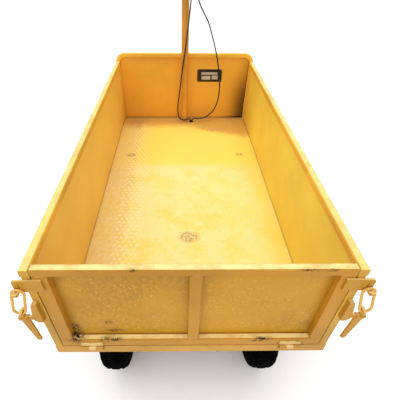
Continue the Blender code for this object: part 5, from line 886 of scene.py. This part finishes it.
mast_paint = orange_paint("mast_paint", shade(222, 158, 64), chips=0.6, pale_top=0.6)
cover(mast_paint, "mast_tube")
mast_low, mast_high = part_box("mast_tube")
MAST_X = (mast_low.x + mast_high.x) / 2
MAST_Y = (mast_low.y + mast_high.y) / 2
MAST_RADIUS = (mast_high.x - mast_low.x) / 2
MAST_BEAD = 0.0034
MAST_BEAD_RIPPLE = 0.0005
MAST_BEAD_OUT = 0.0004
MAST_BEAD_STEPS = 96
foot_weld = bmesh.new()
rings = []
for step in range(MAST_BEAD_STEPS):
    turn = 2 * math.pi * step / MAST_BEAD_STEPS
    out = Vector((math.cos(turn), math.sin(turn), 0))
    centre = Vector((MAST_X, MAST_Y, mast_low.z + MAST_BEAD_OUT))
    centre = centre + out * (MAST_RADIUS + MAST_BEAD_OUT)
    swell = MAST_BEAD + MAST_BEAD_RIPPLE * (step % 2)
    rings.append(circle(centre, out, Vector((0, 0, 1)), swell, 8))
add_rings(foot_weld, rings, closed=True)
make_piece("mast_foot_weld", foot_weld, mast_paint, "root")


# Handlebar. A bent steel bar carries two moulded grips, a cast brake lever, a twist
# throttle and a switch box with a key lock, a horn button and a small dark window.

switch_black = road_black("switch_black", shade(30, 30, 32), 0.40, 0.12)
cast_black = road_black("cast_black", shade(40, 40, 42), 0.32, 0.10)
grip_black = plain_coat("grip_rubber", shade(30, 30, 31), 0.66, 0.2, scale=120.0,
                        depth=0.0003)
horn_red = plain_coat("horn_button_red", shade(150, 30, 24), 0.34, 0.08)
window_glass = plain_coat("window_glass", shade(14, 18, 22), 0.08, 0.05, depth=0.00002)
cover(switch_black, "control_pod")
cover(cast_black, "brake_perch", "brake_lever_left", "throttle_housing")
cover(grip_black, "cable_grommet")
cover(horn_red, "horn_button")
BAR_BORE = 0.01165
GRIP_STEPS = 32
GRIP_FLANGE = ((BAR_BORE, 0.0), (0.0196, 0.0), (0.0199, 0.0012), (0.0196, 0.0024),
               (0.0148, 0.0032))
GRIP_RIB = ((0.0145, 0.0), (0.0158, 0.0008), (0.0158, 0.0024), (0.0145, 0.0032))
GRIP_RIB_PITCH = 0.0046
FIRST_RIB = 0.008
PLAIN_END = 0.012
DOME_HOLE = 0.0005
DOME_DEPTH = 0.0036


def add_grip(mesh_data, low, high, y, z, side):
    """A grip with a flange, close ribs and a domed end, hollow round the bar."""
    length = high - low
    skin = list(GRIP_FLANGE)
    place = FIRST_RIB
    while place < length - PLAIN_END:
        skin += [(radius, place + along) for radius, along in GRIP_RIB]
        place += GRIP_RIB_PITCH
    skin += [(0.0150, length - 0.006), (0.0144, length - 0.002), (0.0120, length),
             (DOME_HOLE, length), (DOME_HOLE, length - DOME_DEPTH),
             (BAR_BORE, length - DOME_DEPTH)]
    start = low if side > 0 else high
    rings = []
    for step in range(GRIP_STEPS):
        turn = 2 * math.pi * step / GRIP_STEPS
        rings.append([(start + side * along, y + radius * math.cos(turn),
                       z + radius * math.sin(turn)) for radius, along in skin])
    add_rings(mesh_data, rings, closed=True)


for node, body, side in (("grip_left", "column", -1), ("throttle_grip", "throttle", 1)):
    low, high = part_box(node)
    shape = bmesh.new()
    add_grip(shape, low.x, high.x, (low.y + high.y) / 2, (low.z + high.z) / 2, side)
    grip = make_piece(f"ribbed_{node}", shape, grip_black, body, angle=30)
    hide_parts(node)

POD_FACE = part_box("control_pod")[0].y
WINDOW_Z = 1.398
WINDOW_WIDTH = 0.034
WINDOW_HEIGHT = 0.020
WINDOW_DEPTH = 0.0010
WINDOW_CORNER = 0.003
SCREW_X = 0.052
SCREW_HEIGHTS = (1.353, 1.407)
SCREW_ACROSS = 0.006
SCREW_HEAD = 0.0012
window = bmesh.new()
add_slab(window, (0.0, POD_FACE + 0.0001, WINDOW_Z), WINDOW_WIDTH, WINDOW_HEIGHT,
         WINDOW_DEPTH, WINDOW_CORNER)
make_piece("pod_window", window, window_glass, "column")
screws = bmesh.new()
for sx in (-1, 1):
    for z in SCREW_HEIGHTS:
        add_bolt(screws, (sx * SCREW_X, POD_FACE + 0.0002, z), (0, -1, 0),
                 SCREW_ACROSS, SCREW_HEAD, washer=False)
make_piece("pod_screws", screws, zinc, "column", angle=25)


# Cables. Two black sheathed cables hang from the switch box, bow out over the deck and
# go down through its grommet: one to the controller, one to the right rear brake. A
# plastic tie holds them together over the grommet.

cable_sheath = plain_coat("cable_sheath", shade(22, 21, 21), 0.40, 0.2, scale=80.0,
                          depth=0.0001)
CABLE_RADIUS = 0.004
CABLE_STEP = 0.010
GLAND_Y = 0.765
GLAND_Z = 1.3307
RIGHT_PLANE = 0.805
LEFT_PLANE = 0.790
GROMMET_X = 0.050
GROMMET_Y = 0.803
APART = 0.0043
RIGHT_HOLE = GROMMET_X + APART
LEFT_HOLE = GROMMET_X - APART
RAIL_X = 0.102
RAIL_Z = 0.4242


def smooth_route(points, spacing):
    """A curve through the route's points, in short even steps."""
    points = [Vector(point) for point in points]
    ends = [2 * points[0] - points[1]] + points + [2 * points[-1] - points[-2]]
    route = [points[0]]
    for a, b, c, d in zip(ends, ends[1:], ends[2:], ends[3:]):
        steps = max(1, math.ceil((c - b).length / spacing))
        knots = [0.0]
        for first, second in ((a, b), (b, c), (c, d)):
            knots.append(knots[-1] + math.sqrt((second - first).length))
        k0, k1, k2, k3 = knots
        for step in range(1, steps + 1):
            t = k1 + (k2 - k1) * step / steps
            ab = a * ((k1 - t) / (k1 - k0)) + b * ((t - k0) / (k1 - k0))
            bc = b * ((k2 - t) / (k2 - k1)) + c * ((t - k1) / (k2 - k1))
            cd = c * ((k3 - t) / (k3 - k2)) + d * ((t - k2) / (k3 - k2))
            abc = ab * ((k2 - t) / (k2 - k0)) + bc * ((t - k0) / (k2 - k0))
            bcd = bc * ((k3 - t) / (k3 - k1)) + cd * ((t - k1) / (k3 - k1))
            route.append(abc * ((k2 - t) / (k2 - k1)) + bcd * ((t - k1) / (k2 - k1)))
    return route


def hang_cable(name, node, points):
    """A round cable along its route."""
    route = smooth_route(points, CABLE_STEP)
    before = route[:1] + route[:-1]
    after = route[1:] + route[-1:]
    side = Vector((1, 0, 0))
    rings = []
    for point, last, following in zip(route, before, after):
        along = (following - last).normalized()
        side = (side - along * side.dot(along)).normalized()
        rings.append(circle(point, side, along.cross(side), CABLE_RADIUS, 12))
    shape = bmesh.new()
    add_rings(shape, rings)
    thing = make_thing(name, shape, cable_sheath)
    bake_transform(thing)
    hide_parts(node)
    length = sum((b - a).length for a, b in zip(route, route[1:]))


right_route = [
    (0.054, GLAND_Y, GLAND_Z), (0.056, GLAND_Y + 0.001, GLAND_Z - 0.035),
    (0.086, GLAND_Y + 0.014, GLAND_Z - 0.120), (0.137, RIGHT_PLANE, 1.124),
    (0.164, RIGHT_PLANE, 1.053), (0.192, RIGHT_PLANE, 0.967), (0.216, RIGHT_PLANE, 0.869),
    (0.231, RIGHT_PLANE, 0.778), (0.234, RIGHT_PLANE, 0.710), (0.226, RIGHT_PLANE, 0.640),
    (0.203, RIGHT_PLANE, 0.580), (0.169, RIGHT_PLANE, 0.541), (0.134, RIGHT_PLANE, 0.521),
    (0.098, RIGHT_PLANE, 0.516), (0.074, GROMMET_Y, 0.5170), (0.0615, GROMMET_Y, 0.5140),
    (RIGHT_HOLE + 0.001, GROMMET_Y, 0.5060), (RIGHT_HOLE, GROMMET_Y, 0.4985),
    (RIGHT_HOLE, GROMMET_Y, 0.486), (RIGHT_HOLE, GROMMET_Y - 0.003, 0.478),
    (RIGHT_HOLE, GROMMET_Y - 0.012, 0.471), (RIGHT_HOLE, 0.7673, 0.470),
    (RIGHT_HOLE, 0.7553, 0.470),
]
left_route = [
    (0.036, GLAND_Y, GLAND_Z), (0.035, GLAND_Y + 0.001, GLAND_Z - 0.035),
    (0.028, GLAND_Y + 0.012, GLAND_Z - 0.120), (0.020, LEFT_PLANE, 1.127),
    (0.001, LEFT_PLANE, 0.970), (-0.011, LEFT_PLANE, 0.898), (-0.028, LEFT_PLANE, 0.763),
    (-0.041, LEFT_PLANE, 0.659), (-0.0465, LEFT_PLANE, 0.601), (-0.040, LEFT_PLANE, 0.540),
    (-0.020, LEFT_PLANE, 0.516), (0.010, LEFT_PLANE, 0.513),
    (0.027, LEFT_PLANE + 0.006, 0.5165), (0.0385, GROMMET_Y - 0.002, 0.5140),
    (LEFT_HOLE - 0.001, GROMMET_Y, 0.5060), (LEFT_HOLE, GROMMET_Y, 0.4985),
    (LEFT_HOLE, GROMMET_Y, 0.486), (LEFT_HOLE, GROMMET_Y + 0.001, 0.462),
    (GROMMET_X, GROMMET_Y + 0.003, 0.438), (0.075, GROMMET_Y - 0.005, RAIL_Z),
    (RAIL_X - 0.003, 0.745, RAIL_Z), (RAIL_X, 0.715, RAIL_Z), (RAIL_X, 0.680, RAIL_Z),
    (RAIL_X, 0.300, RAIL_Z), (RAIL_X, -0.100, RAIL_Z), (RAIL_X, -0.380, RAIL_Z),
    (RAIL_X - 0.002, -0.425, 0.420), (0.101, -0.448, 0.405), (0.104, -0.464, 0.384),
    (0.125, -0.480, 0.360), (0.157, -0.496, 0.336), (0.187, -0.512, 0.311),
    (0.203, -0.526, 0.289), (0.2097, -0.535, 0.2595), (0.2237, -0.535, 0.2595),
]
hang_cable("throttle_cable_sheath", "throttle_cable", right_route)
hang_cable("brake_cable_sheath", "brake_cable", left_route)

TIE_RADIUS = 0.0046
TIE_OUTER = (1.12, 1.28)
TIE_INNER = (0.97, 0.97)
TIE_LOW = 0.5022
TIE_HIGH = 0.5056
TIE_STEPS = 24
tie = bmesh.new()
rings = []
for step in range(TIE_STEPS):
    turn = 2 * math.pi * step / TIE_STEPS
    x = APART * (1 if math.cos(turn) > 0 else -1) + TIE_RADIUS * math.cos(turn)
    y = TIE_RADIUS * math.sin(turn)
    (outer_x, outer_y), (inner_x, inner_y) = (
        (GROMMET_X + x * wide, GROMMET_Y + y * deep) for wide, deep in (TIE_OUTER, TIE_INNER))
    rings.append([(outer_x, outer_y, TIE_LOW), (outer_x, outer_y, TIE_HIGH),
                  (inner_x, inner_y, TIE_HIGH), (inner_x, inner_y, TIE_LOW)])
add_rings(tie, rings, closed=True)
make_piece("cable_tie", tie, switch_black, "root")


# Studio. A wide pale floor and an even white sky, with one broad lamp from the upper
# left that gives the box its lit right wall and a soft shadow under the deck.

HALF_FLOOR = 15.0
FLOOR_GLOW = 0.10
WHITE = shade(255, 255, 255)
floor_paint, floor_shader, floor_place = new_finish("floor_paint")
tone = floor_place.noise(0.8, 2.0).over(shade(250, 250, 250), shade(254, 254, 254))
set_surface(floor_shader, tone, 0.85)
floor_shader.inputs["Emission Color"].default_value = WHITE
floor_shader.inputs["Emission Strength"].default_value = FLOOR_GLOW
floor_mesh = bpy.data.meshes.new("floor")
floor_corners = [(x * HALF_FLOOR, y * HALF_FLOOR, 0)
                 for x, y in ((-1, -1), (1, -1), (1, 1), (-1, 1))]
floor_mesh.from_pydata(floor_corners, [], [(0, 1, 2, 3)])
floor_mesh.materials.append(floor_paint)
floor = bpy.data.objects.new("floor", floor_mesh)
bpy.context.scene.collection.objects.link(floor)

SKY_LIGHT = 0.68
world = bpy.data.worlds.new("sky")
world.use_nodes = True
bpy.context.scene.world = world
sky = world.node_tree.nodes["Background"]
sky_layer = Layer(world.node_tree)
seen = sky_layer.node("LightPath", {}, out="Is Camera Ray")
for ray in ("Is Glossy Ray", "Is Transmission Ray"):
    seen = (seen + sky_layer.node("LightPath", {}, out=ray)).within(0.0, 1.0)
sky.inputs["Color"].default_value = WHITE
sky_layer.feed(sky.inputs["Strength"], seen * (1.0 - SKY_LIGHT) + SKY_LIGHT)

LAMP_STRENGTH = 1.75
LAMP_SPREAD = math.radians(70)
LAMP_TILT = (math.radians(2), math.radians(-9), 0)
lamp_data = bpy.data.lights.new("window_light", "SUN")
lamp_data.energy = LAMP_STRENGTH
lamp_data.angle = LAMP_SPREAD
lamp = bpy.data.objects.new("window_light", lamp_data)
lamp.rotation_euler = LAMP_TILT
bpy.context.scene.collection.objects.link(lamp)

CAMERA_PLACE = (-0.0414, -1.3762, 1.5386)
LENS = 29.2
SHIFT_X = 0.0432
SHIFT_Y = 0.0239
NEAREST = 0.05
PITCH = math.radians(40.78)
YAW = math.radians(0.93)
ROLL = math.radians(0.5)
camera_data = bpy.data.cameras.new("camera")
camera_data.lens = LENS
camera_data.shift_x = SHIFT_X
camera_data.shift_y = SHIFT_Y
camera_data.clip_start = NEAREST
camera = bpy.data.objects.new("camera", camera_data)
bpy.context.scene.collection.objects.link(camera)
ahead = Vector((math.sin(YAW) * math.cos(PITCH), math.cos(YAW) * math.cos(PITCH),
                -math.sin(PITCH)))
right = Vector((math.cos(YAW), -math.sin(YAW), 0))
up = right.cross(ahead)
rolled_right = right * math.cos(ROLL) + up * math.sin(ROLL)
rolled_up = up * math.cos(ROLL) - right * math.sin(ROLL)
turn = Matrix((rolled_right, rolled_up, -ahead)).transposed()
camera.matrix_world = Matrix.Translation(CAMERA_PLACE) @ turn.to_4x4()
bpy.context.scene.camera = camera
bpy.context.scene.view_settings.view_transform = "Standard"
